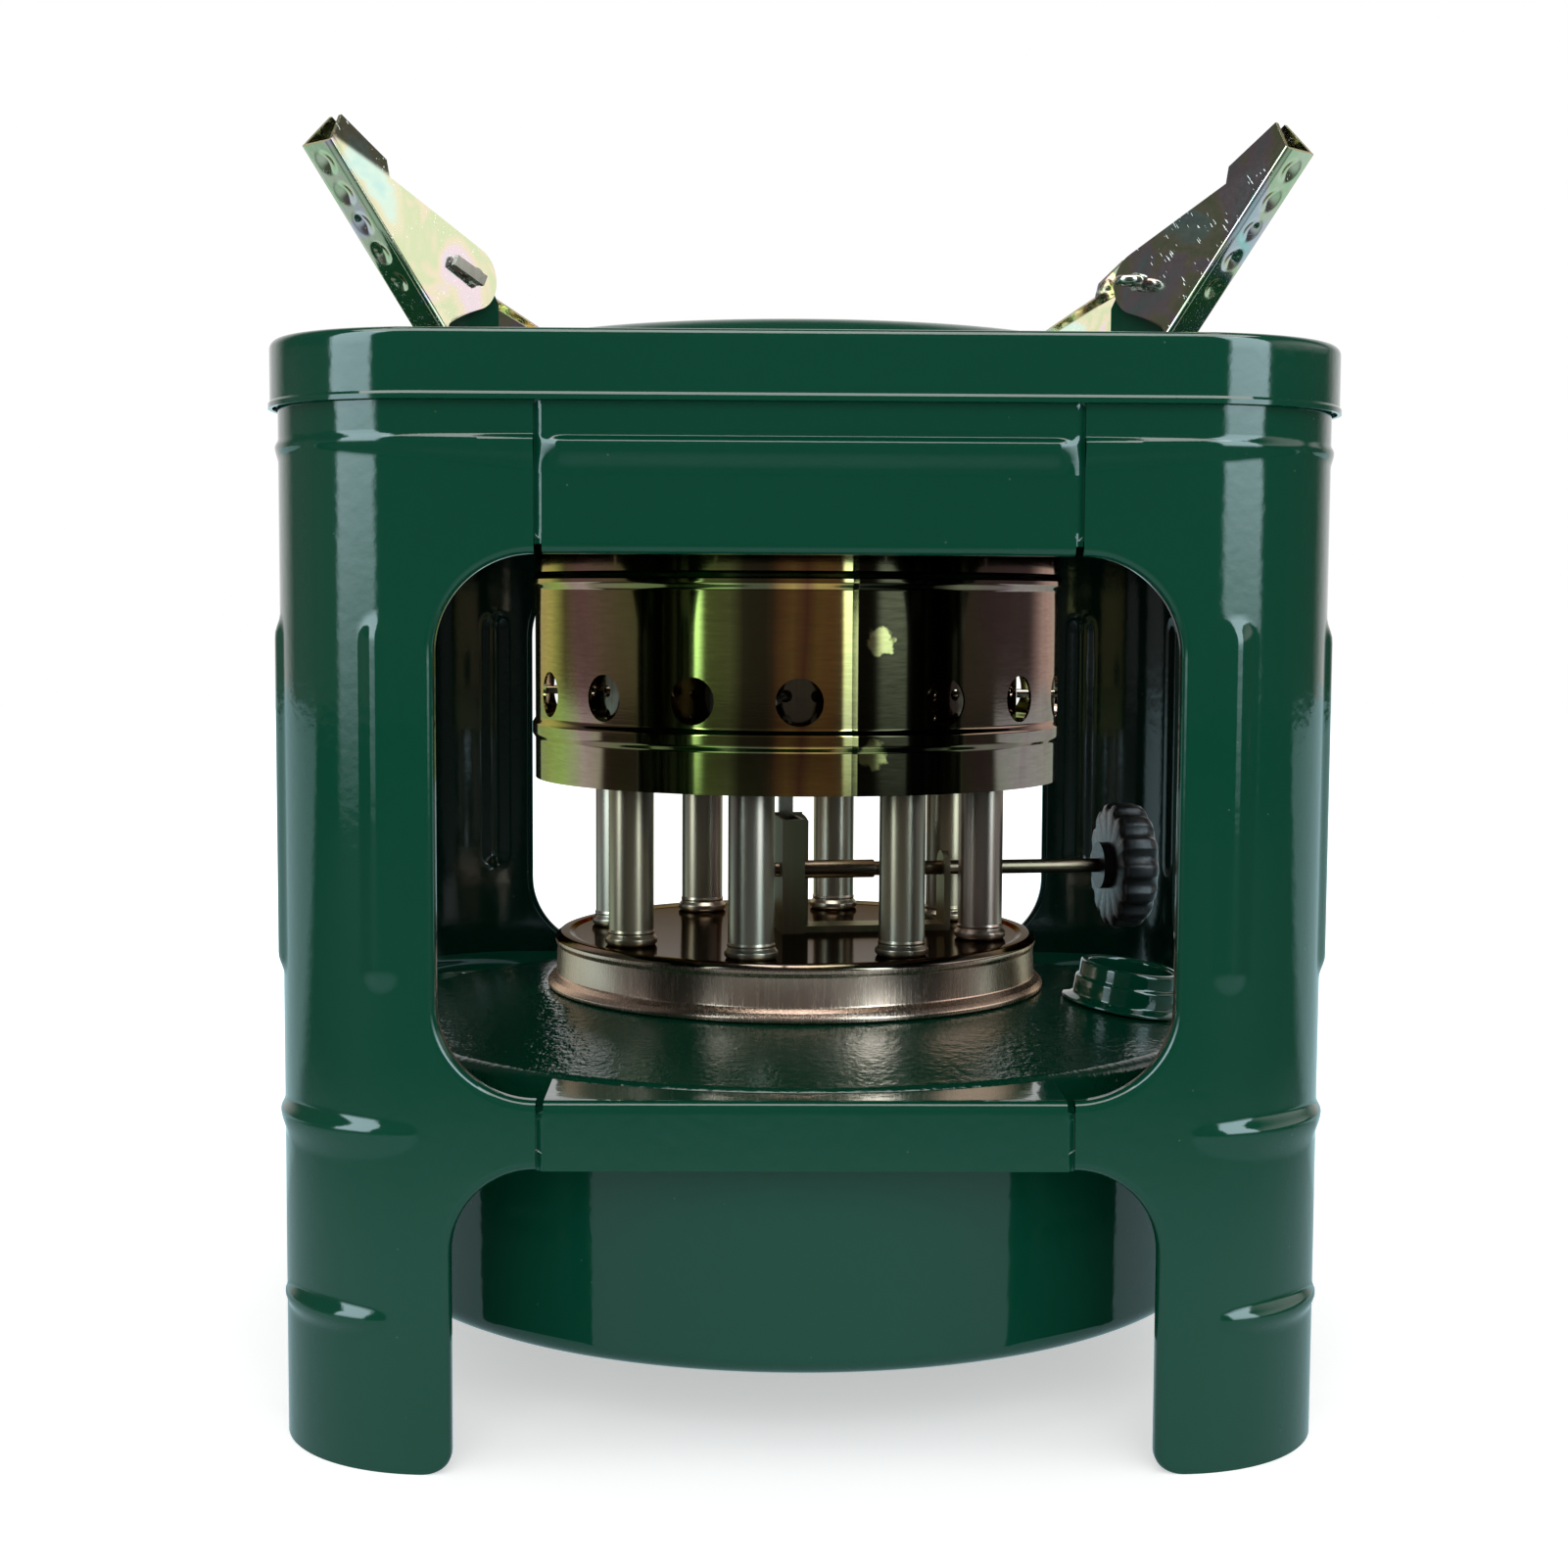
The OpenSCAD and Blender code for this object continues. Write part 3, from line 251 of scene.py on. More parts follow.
def carve(obj: Object, cutters: list[Object], sharp: float = SHARP) -> Object:
    """Cuts pieces out of another and removes them.

    Args:
        obj: Piece that is cut.
        cutters: Closed pieces that are taken away.
        sharp: Angle in degrees above which an edge stays sharp.

    Returns:
        The cut piece.
    """
    bm = bmesh.new()
    for cutter in cutters:
        bm.from_mesh(cutter.data)
        bpy.data.objects.remove(cutter)
    tool = new_object("cutter", bpy.data.meshes.new("cutter"))
    bm.to_mesh(tool.data)
    bm.free()
    cut = obj.modifiers.new("cut", "BOOLEAN")
    cut.operation = "DIFFERENCE"
    cut.object = tool
    cut.solver = "EXACT"
    graph = bpy.context.evaluated_depsgraph_get()
    result = bpy.data.meshes.new_from_object(obj.evaluated_get(graph))
    obj.modifiers.clear()
    obj.data = result
    result.name = obj.name
    bpy.data.objects.remove(tool)
    shade(result, sharp)
    return obj


def rod(radius: float, length: float, matrix: Matrix, segments: int = 48) -> Object:
    """A round bar along its own Z axis from zero, moved by a matrix."""
    return place(lathe("rod", [(0, 0), (radius, 0), (radius, length), (0, length)], segments), matrix)


def soften(obj: Object, width: float, angle: float = 40.0) -> None:
    """Rounds the edges of a piece that turn by more than an angle in degrees."""
    soft = obj.modifiers.new("edges", "BEVEL")
    soft.width = width * MM
    soft.segments = 2
    soft.limit_method = "ANGLE"
    soft.angle_limit = math.radians(angle)


def spread(low: float, high: float, step: float) -> list[float]:
    """Even values from low to high with no gap wider than step, without the last."""
    count = max(1, math.ceil((high - low) / step - 1e-9))
    return [low + (high - low) * i / count for i in range(count)]


def quarter(steps: int) -> list[float]:
    """Angles of a quarter turn in even steps, with both ends."""
    return [math.pi / 2 * k / steps for k in range(steps + 1)]


def smooth(share: float) -> float:
    """A soft step of a share, which is first kept between 0 and 1."""
    t = min(1.0, max(0.0, share))
    return t * t * (3 - 2 * t)


def hump(distance: np.ndarray, half_width: float) -> np.ndarray:
    """A soft rise that is 1 at zero distance and 0 beyond half_width."""
    t = np.clip(np.abs(distance) / half_width, 0, 1)
    return (1 + np.cos(math.pi * t)) / 2


def settle(obj: Object, body: str, slot: Slot, material: Material, *nodes: str) -> Object:
    """Dresses a piece, lets it ride on its body and hides the imported nodes that it stands for."""
    obj.data.materials.clear()
    obj.data.materials.append(material)
    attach(obj, body)
    if nodes:
        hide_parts(*nodes)
    LOG.info("piece %s rides on %s, %d faces", obj.name, body, len(obj.data.polygons))
    return obj


def dress_node(node: str, material: Material, bevel: float) -> None:
    """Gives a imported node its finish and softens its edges.

    Args:
        node: Name of the node.
        material: Its finish.
        bevel: Width of the softened edges, or zero for none.
    """
    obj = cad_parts[node]
    obj.data.materials.clear()
    obj.data.materials.append(material)
    if bevel:
        soften(obj, bevel)
    LOG.info("node %s dressed", node)


# Finishes


class Wires:
    """Adds shader nodes to one tree and joins them."""

    def __init__(self, tree: bpy.types.NodeTree) -> None:
        """Takes the tree that the nodes go into."""
        self.tree = tree

    def find(self, kind: str) -> Node:
        """Finds the node of a kind that the tree already has."""
        return next(node for node in self.tree.nodes if node.type == kind)

    def add(self, kind: str, **values: object) -> Node:
        """Adds a node.

        Args:
            kind: Blender's name of the node.
            values: Settings of the node; a name that starts with in_ sets that input.

        Returns:
            The node.
        """
        node = self.tree.nodes.new(kind)
        for key, value in values.items():
            if key.startswith("in_"):
                node.inputs[key[3:].replace("_", " ")].default_value = value
            else:
                setattr(node, key, value)
        return node

    def join(self, source: Socket, target: Socket) -> None:
        """Links an output to an input."""
        self.tree.links.new(source, target)

    def feed(self, target: Socket, value: object) -> None:
        """Links an input to a socket, or sets it to a number, a vector or a colour."""
        if isinstance(value, Socket):
            self.join(value, target)
        elif target.type == "RGBA":
            target.default_value = (*value, 1.0)
        else:
            target.default_value = value

    def math(self, kind: str, *values: object) -> Socket:
        """Adds a Math node on sockets or numbers and returns its output."""
        node = self.add("ShaderNodeMath", operation=kind)
        for socket, value in zip(node.inputs, values):
            self.feed(socket, value)
        return node.outputs[0]

    def vector(self, kind: str, *values: object, **settings: object) -> Node:
        """Adds a Vector Math node on sockets or vectors."""
        node = self.add("ShaderNodeVectorMath", operation=kind, **settings)
        for socket, value in zip(node.inputs, values):
            self.feed(socket, value)
        return node

    def mix(self, share: object, low: object, high: object) -> Socket:
        """Adds a colour mix of two colours or sockets and returns its output."""
        node = self.add("ShaderNodeMix", data_type="RGBA")
        for number, value in zip(MIX_INPUTS, (share, low, high)):
            self.feed(node.inputs[number], value)
        return node.outputs[MIX_OUTPUT]

    def ease(self, value: Socket, over: Point2, gives: Point2 = (0.0, 1.0)) -> Socket:
        """Adds a soft step and returns its output.

        Args:
            value: Socket that moves it.
            over: Values between which it changes.
            gives: What it gives at the first of them and at the second.

        Returns:
            The output.
        """
        node = self.add("ShaderNodeMapRange", interpolation_type="SMOOTHSTEP")
        self.join(value, node.inputs["Value"])
        for name, number in zip(("From Min", "From Max", "To Min", "To Max"), (*over, *gives)):
            node.inputs[name].default_value = number
        return node.outputs["Result"]

    def ramp(self, value: Socket, stops: Stops, easing: str = "LINEAR") -> Socket:
        """Adds a row of colours that a value runs through and returns the colour."""
        node = self.add("ShaderNodeValToRGB")
        node.color_ramp.interpolation = easing
        for at, _ in stops[2:]:
            node.color_ramp.elements.new(min(at, 0.999))
        for element, (at, color) in zip(node.color_ramp.elements, stops):
            element.position = at
            element.color = (*color, 1.0)
        self.join(value, node.inputs["Fac"])
        return node.outputs["Color"]

    def noise(self, spot: Socket, scale: object, **values: object) -> Node:
        """Adds a noise texture whose scale is a number or a socket."""
        node = self.add("ShaderNodeTexNoise", **values)
        self.join(spot, node.inputs["Vector"])
        self.feed(node.inputs["Scale"], scale)
        return node

    def spot(self, kind: str = "Object") -> Socket:
        """Coordinates of a point on the surface."""
        return self.add("ShaderNodeTexCoord").outputs[kind]

    def split(self, vector: Socket) -> dict[str, Socket]:
        """Splits a vector into its X, Y and Z."""
        node = self.add("ShaderNodeSeparateXYZ")
        self.join(vector, node.inputs["Vector"])
        return {axis: node.outputs[axis] for axis in "XYZ"}

    def place(self, stretch: Point3 = (1.0, 1.0, 1.0), turn: Point3 = (0.0, 0.0, 0.0)) -> Socket:
        """Object coordinates, scaled along each axis of a frame turned by angles in degrees."""
        size = tuple(1.0 / s for s in stretch)
        scale = self.add("ShaderNodeMapping", vector_type="TEXTURE", in_Scale=size)
        scale.inputs["Rotation"].default_value = tuple(math.radians(a) for a in turn)
        self.join(self.spot(), scale.inputs["Vector"])
        return scale.outputs["Vector"]


class Effect(str, Enum):
    """Shared effects, each a shader node group."""

    PEEL = "lacquer peel"
    SPECKS = "dust specks"
    FILM = "zinc film"
    PALE_FILM = "pale zinc film"
    SCRATCHES = "scratches"
    STRIAE = "rolling lines"


FILM_STOPS: dict[Effect, Stops] = {
    Effect.FILM: (
        (0.0, (0.50, 0.36, 0.12)),
        (0.16, (0.66, 0.56, 0.20)),
        (0.30, (0.46, 0.56, 0.11)),
        (0.42, (0.62, 0.56, 0.20)),
        (0.58, (0.56, 0.36, 0.16)),
        (0.70, (0.62, 0.27, 0.33)),
        (0.82, (0.34, 0.24, 0.14)),
        (1.0, (0.50, 0.36, 0.12)),
    ),
    Effect.PALE_FILM: (
        (0.0, (0.72, 0.68, 0.46)),
        (0.16, (0.62, 0.78, 0.66)),
        (0.30, (0.50, 0.72, 0.66)),
        (0.42, (0.66, 0.64, 0.66)),
        (0.58, (0.76, 0.62, 0.66)),
        (0.70, (0.74, 0.66, 0.46)),
        (0.82, (0.60, 0.66, 0.40)),
        (1.0, (0.72, 0.68, 0.46)),
    ),
}
# How often the film runs through its colours
FILM_TURNS = 2.6
# Scale of the fine peel over that of the slow waves
FINE_PEEL = 3.1
# Scale of the patches in which dust lies over that of the dust, and where they begin
SPECK_PATCH = 0.31
SPECK_CUT = 0.56


def new_group(
    effect: Effect, inputs: dict[str, object], outputs: dict[str, str]
) -> tuple[Wires, bpy.types.NodeOutputs, bpy.types.NodeInputs]:
    """Makes an empty node group with named sockets.

    Args:
        effect: Which effect it holds.
        inputs: Default of each input, a number or a vector.
        outputs: Socket kind of each output.

    Returns:
        The wires of the group, what is given to it, and where its results go.
    """
    tree = bpy.data.node_groups.new(effect.value, "ShaderNodeTree")
    for name, default in inputs.items():
        kind = VECTOR if isinstance(default, tuple) else FLOAT
        tree.interface.new_socket(name, in_out="INPUT", socket_type=kind).default_value = default
    for name, kind in outputs.items():
        tree.interface.new_socket(name, in_out="OUTPUT", socket_type=kind)
    wires = Wires(tree)
    return wires, wires.add("NodeGroupInput").outputs, wires.add("NodeGroupOutput").inputs


def build_peel() -> None:
    """Slow waves and fine orange peel of a sprayed lacquer, as a height."""
    w, given, result = new_group(Effect.PEEL, {"Scale": 420.0, "Fine": 0.35}, {"Height": FLOAT})
    spot = w.place()
    slow = w.noise(spot, given["Scale"], in_Detail=1.0)
    fine = w.noise(spot, w.math("MULTIPLY", given["Scale"], FINE_PEEL), in_Detail=2.0)
    share = w.math("MULTIPLY", fine.outputs["Fac"], given["Fine"])
    w.join(w.math("ADD", slow.outputs["Fac"], share), result["Height"])


def build_specks() -> None:
    """Sparse small dust specks under the lacquer, as a mask."""
    w, given, result = new_group(Effect.SPECKS, {"Scale": 260.0, "Share": 0.06}, {"Mask": FLOAT})
    spot = w.place()
    cells = w.add("ShaderNodeTexVoronoi", feature="F1")
    w.join(spot, cells.inputs["Vector"])
    w.join(given["Scale"], cells.inputs["Scale"])
    patch = w.noise(spot, w.math("MULTIPLY", given["Scale"], SPECK_PATCH), in_Detail=1.0)
    near = w.math("LESS_THAN", cells.outputs["Distance"], given["Share"])
    some = w.math("GREATER_THAN", patch.outputs["Fac"], SPECK_CUT)
    w.join(w.math("MULTIPLY", near, some), result["Mask"])


def build_film(effect: Effect) -> None:
    """Play of colour of a passivated zinc film, thin and pale or thick and brown."""
    w, given, result = new_group(
        effect, {"Vector": (0.0, 0.0, 0.0), "Scale": 14.0, "Shift": 0.0}, {"Color": COLOR, "Value": FLOAT}
    )
    noise = w.noise(given["Vector"], given["Scale"], in_Detail=3.0, in_Roughness=0.55, in_Distortion=0.6)
    turns = w.math("MULTIPLY", noise.outputs["Fac"], FILM_TURNS)
    phase = w.math("FRACT", w.math("ADD", turns, given["Shift"]))
    w.join(w.ramp(phase, FILM_STOPS[effect], "EASE"), result["Color"])
    w.join(noise.outputs["Fac"], result["Value"])


def build_striae() -> None:
    """Fine rolling lines of drawn sheet, as a value round one half."""
    w, given, result = new_group(
        Effect.STRIAE, {"Vector": (0.0, 0.0, 0.0), "Scale": 600.0}, {"Value": FLOAT}
    )
    noise = w.noise(given["Vector"], given["Scale"], in_Detail=4.0, in_Roughness=0.7)
    w.join(noise.outputs["Fac"], result["Value"])


def build_scratches() -> None:
    """Short fine scratches in scattered patches, as a mask."""
    w, given, result = new_group(
        Effect.SCRATCHES, {"Vector": (0.0, 0.0, 0.0), "Share": 0.69}, {"Mask": FLOAT}
    )
    lines = w.noise(given["Vector"], 3600.0, in_Detail=1.0)
    patch = w.noise(w.place(), 90.0, in_Detail=1.0)
    cut = w.math("GREATER_THAN", lines.outputs["Fac"], given["Share"])
    w.join(w.math("MULTIPLY", cut, w.math("GREATER_THAN", patch.outputs["Fac"], 0.5)), result["Mask"])


class Finish:
    """Base of the finishes: starts a material and adds what they share."""

    def start(self, name: str) -> tuple[Material, Wires, Node]:
        """Makes an empty material.

        Args:
            name: Name of the material.

        Returns:
            The material, its wires and its Principled shader.
        """
        material = bpy.data.materials.new(name)
        material.use_nodes = True
        wires = Wires(material.node_tree)
        return material, wires, wires.find("BSDF_PRINCIPLED")

    def effect(self, wires: Wires, effect: Effect, **values: object) -> Node:
        """Adds a shared effect to a material, with its own values."""
        node = wires.add("ShaderNodeGroup", node_tree=bpy.data.node_groups[effect.value])
        for key, value in values.items():
            wires.feed(node.inputs[key], value)
        return node

    def bump(self, wires: Wires, shader: Node, height: Socket, depth: float) -> None:
        """Feeds a height to the shader's normal through a Bump node."""
        node = wires.add("ShaderNodeBump", in_Strength=1.0, in_Distance=depth)
        wires.join(height, node.inputs["Height"])
        wires.join(node.outputs["Normal"], shader.inputs["Normal"])


@dataclass(frozen=True)
class EnamelFinish(Finish):
    """Glossy stove enamel on sheet."""

    name: str = "green_enamel"
    color: RGB = (0.0015, 0.051, 0.027)
    pale: RGB = (0.0023, 0.059, 0.032)
    dust_color: RGB = (0.09, 0.16, 0.11)
    dust_share: float = 0.5
    dust_height: float = 1.5
    roughness: float = 0.07
    rough_play: float = 0.04
    index: float = 1.5
    cloud_scale: float = 16.0
    peel_scale: float = 330.0
    peel_fine: float = 0.25
    peel_depth: float = 0.00003
    speck_scale: float = 230.0
    specks: float = 0.045

    def build(self) -> Material:
        """Makes the material."""
        material, w, shader = self.start(self.name)
        peel = self.effect(w, Effect.PEEL, Scale=self.peel_scale, Fine=self.peel_fine).outputs["Height"]
        dust = self.effect(w, Effect.SPECKS, Scale=self.speck_scale, Share=self.specks).outputs["Mask"]
        cloud = w.noise(w.place(), self.cloud_scale, in_Detail=3.0).outputs["Fac"]
        tone = w.mix(cloud, self.color, self.pale)
        tone = w.mix(w.math("MULTIPLY", dust, self.dust_share), tone, self.dust_color)
        w.join(tone, shader.inputs["Base Color"])
        rough = w.math("MULTIPLY_ADD", cloud, self.rough_play, self.roughness - self.rough_play / 2)
        w.join(rough, shader.inputs["Roughness"])
        shader.inputs["IOR"].default_value = self.index
        height = w.math("ADD", peel, w.math("MULTIPLY", dust, self.dust_height))
        self.bump(w, shader, height, self.peel_depth)
        return material


@dataclass(frozen=True)
class PlatedFinish(Finish):
    """Yellow passivated zinc plate with its play of colour."""

    name: str
    tint: RGB = (0.60, 0.52, 0.30)
    edge: RGB = (0.50, 0.45, 0.36)
    play: float = 0.8
    film: Effect = Effect.FILM
    film_scale: float = 16.0
    film_stretch: Point3 = (1.0, 1.0, 0.35)
    shift: float = 0.0
    line_color: RGB = (0.10, 0.08, 0.05)
    line_scale: float = 900.0
    line_stretch: Point3 = (1.0, 1.0, 0.02)
    line_depth: float = 0.00001
    dark_lines: float = 0.25
    roughness: float = 0.14
    rough_play: float = 0.14
    scratch: float = 0.0
    scratch_color: RGB = (0.86, 0.86, 0.80)
    scratch_rough: float = 0.6
    scratch_stretch: Point3 = (0.05, 1.0, 0.05)
    scratch_turn: Point3 = (0.0, 0.0, 0.0)

    def build(self) -> Material:
        """Makes the material."""
        material, w, shader = self.start(self.name)
        spot = w.place(self.film_stretch)
        film = self.effect(w, self.film, Vector=spot, Scale=self.film_scale, Shift=self.shift)
        spot = w.place(self.line_stretch)
        lines = self.effect(w, Effect.STRIAE, Vector=spot, Scale=self.line_scale).outputs["Value"]
        dark = w.math("MULTIPLY", w.math("SUBTRACT", 1.0, lines), self.dark_lines)
        tone = w.mix(dark, self.toned(w, film), self.line_color)
        rough = w.math("MULTIPLY_ADD", lines, self.rough_play, self.roughness - self.rough_play / 2)
        if self.scratch:
            spot = w.place(self.scratch_stretch, self.scratch_turn)
            marks = self.effect(w, Effect.SCRATCHES, Vector=spot, Share=self.scratch).outputs["Mask"]
            tone = w.mix(marks, tone, self.scratch_color)
            rough = w.math("MAXIMUM", rough, w.math("MULTIPLY", marks, self.scratch_rough))
        w.join(tone, shader.inputs["Base Color"])
        w.join(rough, shader.inputs["Roughness"])
        shader.inputs["Metallic"].default_value = 1.0
        shader.inputs["Specular Tint"].default_value = (*self.edge, 1.0)
        self.bump(w, shader, lines, self.line_depth)
        return material

    def toned(self, w: Wires, film: Node) -> Socket:
        """Colour of the plate with its film."""
        return w.mix(self.play, self.tint, film.outputs["Color"])


@dataclass(frozen=True)
class DrumFinish(PlatedFinish):
    """Plate with painted reflections: upright stripes of colour round a rolled drum, keyed to the azimuth
    from the front, stand in for the lamps and surround that the drum shows, and the zinc film draws them a
    little out of true.

    The stops of bands give the azimuth from the front toward the right, in degrees, and the
    first of them the colour at the rear. A mark is an azimuth, a height and a size.
    """

    # Painted reflection: each stop is the colour that stands in for the lamps or surround the drum shows at
    # that azimuth.
    bands: Stops = (
        (0.0, (0.30, 0.24, 0.10)),
        (-96.0, (0.62, 0.40, 0.34)),
        (-76.0, (0.66, 0.56, 0.22)),
        (-60.0, (0.50, 0.50, 0.13)),
        (-50.0, (0.58, 0.28, 0.26)),
        (-40.0, (0.34, 0.25, 0.11)),
        (-27.0, (0.16, 0.18, 0.05)),
        (-20.0, (0.66, 0.86, 0.18)),
        (-15.5, (0.70, 0.80, 0.24)),
        (-12.5, (0.10, 0.085, 0.05)),
        (-7.5, (0.09, 0.07, 0.045)),
        (-5.5, (0.70, 0.28, 0.09)),
        (-3.0, (1.0, 0.50, 0.13)),
        (0.0, (0.55, 0.15, 0.08)),
        (3.0, (1.0, 0.50, 0.12)),
        (7.0, (0.95, 0.42, 0.11)),
        (10.0, (0.58, 0.56, 0.20)),
        (32.0, (0.20, 0.15, 0.09)),
        (44.0, (0.30, 0.17, 0.18)),
        (58.0, (0.50, 0.30, 0.34)),
        (74.0, (0.80, 0.60, 0.62)),
        (100.0, (0.56, 0.50, 0.20)),
    )
    sway: float = 0.035
    stain: Point2 = (10.9, 30.5)
    stain_color: RGB = (0.006, 0.009, 0.0025)
    stain_edges: Point2 = (0.0004, 0.008)
    marks: tuple[Point3, ...] = ((15.6, 158.5, 3.2), (14.0, 135.6, 3.6))
    mark_radius: float = 60.2
    mark_core: float = 0.7
    ragged: float = 0.0045
    ragged_scale: float = 420.0

    def toned(self, w: Wires, film: Node) -> Socket:
        """Colour of the painted reflection stripes, drawn out of true by the film, with the stain beside the
        seam.
        """
        spot = w.spot()
        parts = w.split(spot)
        # Painted reflection: the colour is keyed to the azimuth from the front, where lamps and surround
        # show on the drum.
        azimuth = w.math("ARCTAN2", parts["X"], w.math("MULTIPLY", parts["Y"], -1.0))
        turn = w.math("DIVIDE", azimuth, 2 * math.pi)
        sway = w.math("MULTIPLY", w.math("SUBTRACT", film.outputs["Value"], 0.5), self.sway)
        rear = self.bands[0][1]
        stops = sorted((at / 360.0 + 0.5, color) for at, color in self.bands[1:])
        bands = w.ramp(w.math("ADD", w.math("ADD", turn, 0.5), sway), ((0.0, rear), *stops, (1.0, rear)))
        # play is the share of the painted reflection stripes over the film's own colour.
        tone = w.mix(self.play, film.outputs["Color"], bands)
        return w.mix(self.stained(w, spot, turn), tone, self.stain_color)

    def stained(self, w: Wires, spot: Socket, turn: Socket) -> Socket:
        """Mask of the stain, crisp at the seam, soft beyond it and bare on the marks.

        Args:
            w: Wires of the material.
            spot: Object coordinates.
            turn: Azimuth in turns.

        Returns:
            The mask.
        """
        low, high = (at / 360.0 for at in self.stain)
        crisp, soft = self.stain_edges
        first = w.ease(turn, (low - crisp, low + crisp))
        last = w.ease(turn, (high - soft, high + soft), (1.0, 0.0))
        share = w.math("MULTIPLY", first, last)
        for azimuth, height, size in self.marks:
            a = math.radians(azimuth - 90)
            middle = (self.mark_radius * math.cos(a), self.mark_radius * math.sin(a), height)
            wobble = w.noise(spot, self.ragged_scale, in_Detail=2.0)
            shift = w.vector("SCALE", wobble.outputs["Color"], in_Scale=self.ragged)
            bent = w.vector("ADD", spot, shift.outputs[0])
            aim = tuple(v * MM + self.ragged / 2 for v in middle)
            off = w.vector("DISTANCE", bent.outputs[0], aim)
            bare = w.ease(off.outputs["Value"], (self.mark_core * size * MM, size * MM))
            share = w.math("MULTIPLY", share, bare)
        return share


@dataclass(frozen=True)
class PlasticFinish(Finish):
    """Satin black moulding."""

    name: str = "black_moulding"
    color: RGB = (0.0045, 0.0045, 0.005)
    dust_color: RGB = (0.12, 0.12, 0.12)
    dust_share: float = 0.3
    roughness: float = 0.18
    rough_play: float = 0.25
    gloss: float = 0.3
    peel_depth: float = 0.00002

    def build(self) -> Material:
        """Makes the material."""
        material, w, shader = self.start(self.name)
        peel = self.effect(w, Effect.PEEL, Scale=1500.0, Fine=0.6).outputs["Height"]
        dust = self.effect(w, Effect.SPECKS, Scale=700.0, Share=0.09).outputs["Mask"]
        tone = w.mix(w.math("MULTIPLY", dust, self.dust_share), self.color, self.dust_color)
        w.join(tone, shader.inputs["Base Color"])
        w.join(w.math("MULTIPLY_ADD", peel, self.rough_play, self.roughness), shader.inputs["Roughness"])
        shader.inputs["Specular IOR Level"].default_value = self.gloss
        self.bump(w, shader, peel, self.peel_depth)
        return material


@dataclass(frozen=True)
class CottonFinish(Finish):
    """Braided cotton wick, greyer toward its top."""

    name: str = "braided_cotton"
    color: RGB = (0.74, 0.68, 0.55)
    groove: RGB = (0.45, 0.40, 0.30)
    top_color: RGB = (0.42, 0.37, 0.28)
    top_low: float = 0.1285
    top_high: float = 0.1318
    rough_play: float = 0.1
    braid_scale: float = 260.0
    braid_depth: float = 0.0003

    def build(self) -> Material:
        """Makes the material."""
        material, w, shader = self.start(self.name)
        wave = w.add("ShaderNodeTexWave", wave_type="BANDS", bands_direction="DIAGONAL", in_Distortion=1.5)
        wave.inputs["Scale"].default_value = self.braid_scale
        w.join(w.place(), wave.inputs["Vector"])
        braid = wave.outputs["Fac"]
        top = w.add("ShaderNodeMapRange")
        w.join(w.split(w.spot())["Z"], top.inputs["Value"])
        top.inputs["From Min"].default_value = self.top_low
        top.inputs["From Max"].default_value = self.top_high
        tone = w.mix(braid, self.groove, self.color)
        w.join(w.mix(top.outputs["Result"], tone, self.top_color), shader.inputs["Base Color"])
        rough = w.math("SUBTRACT", 1.0, w.math("MULTIPLY", braid, self.rough_play))
        w.join(rough, shader.inputs["Roughness"])
        self.bump(w, shader, braid, self.braid_depth)
        return material


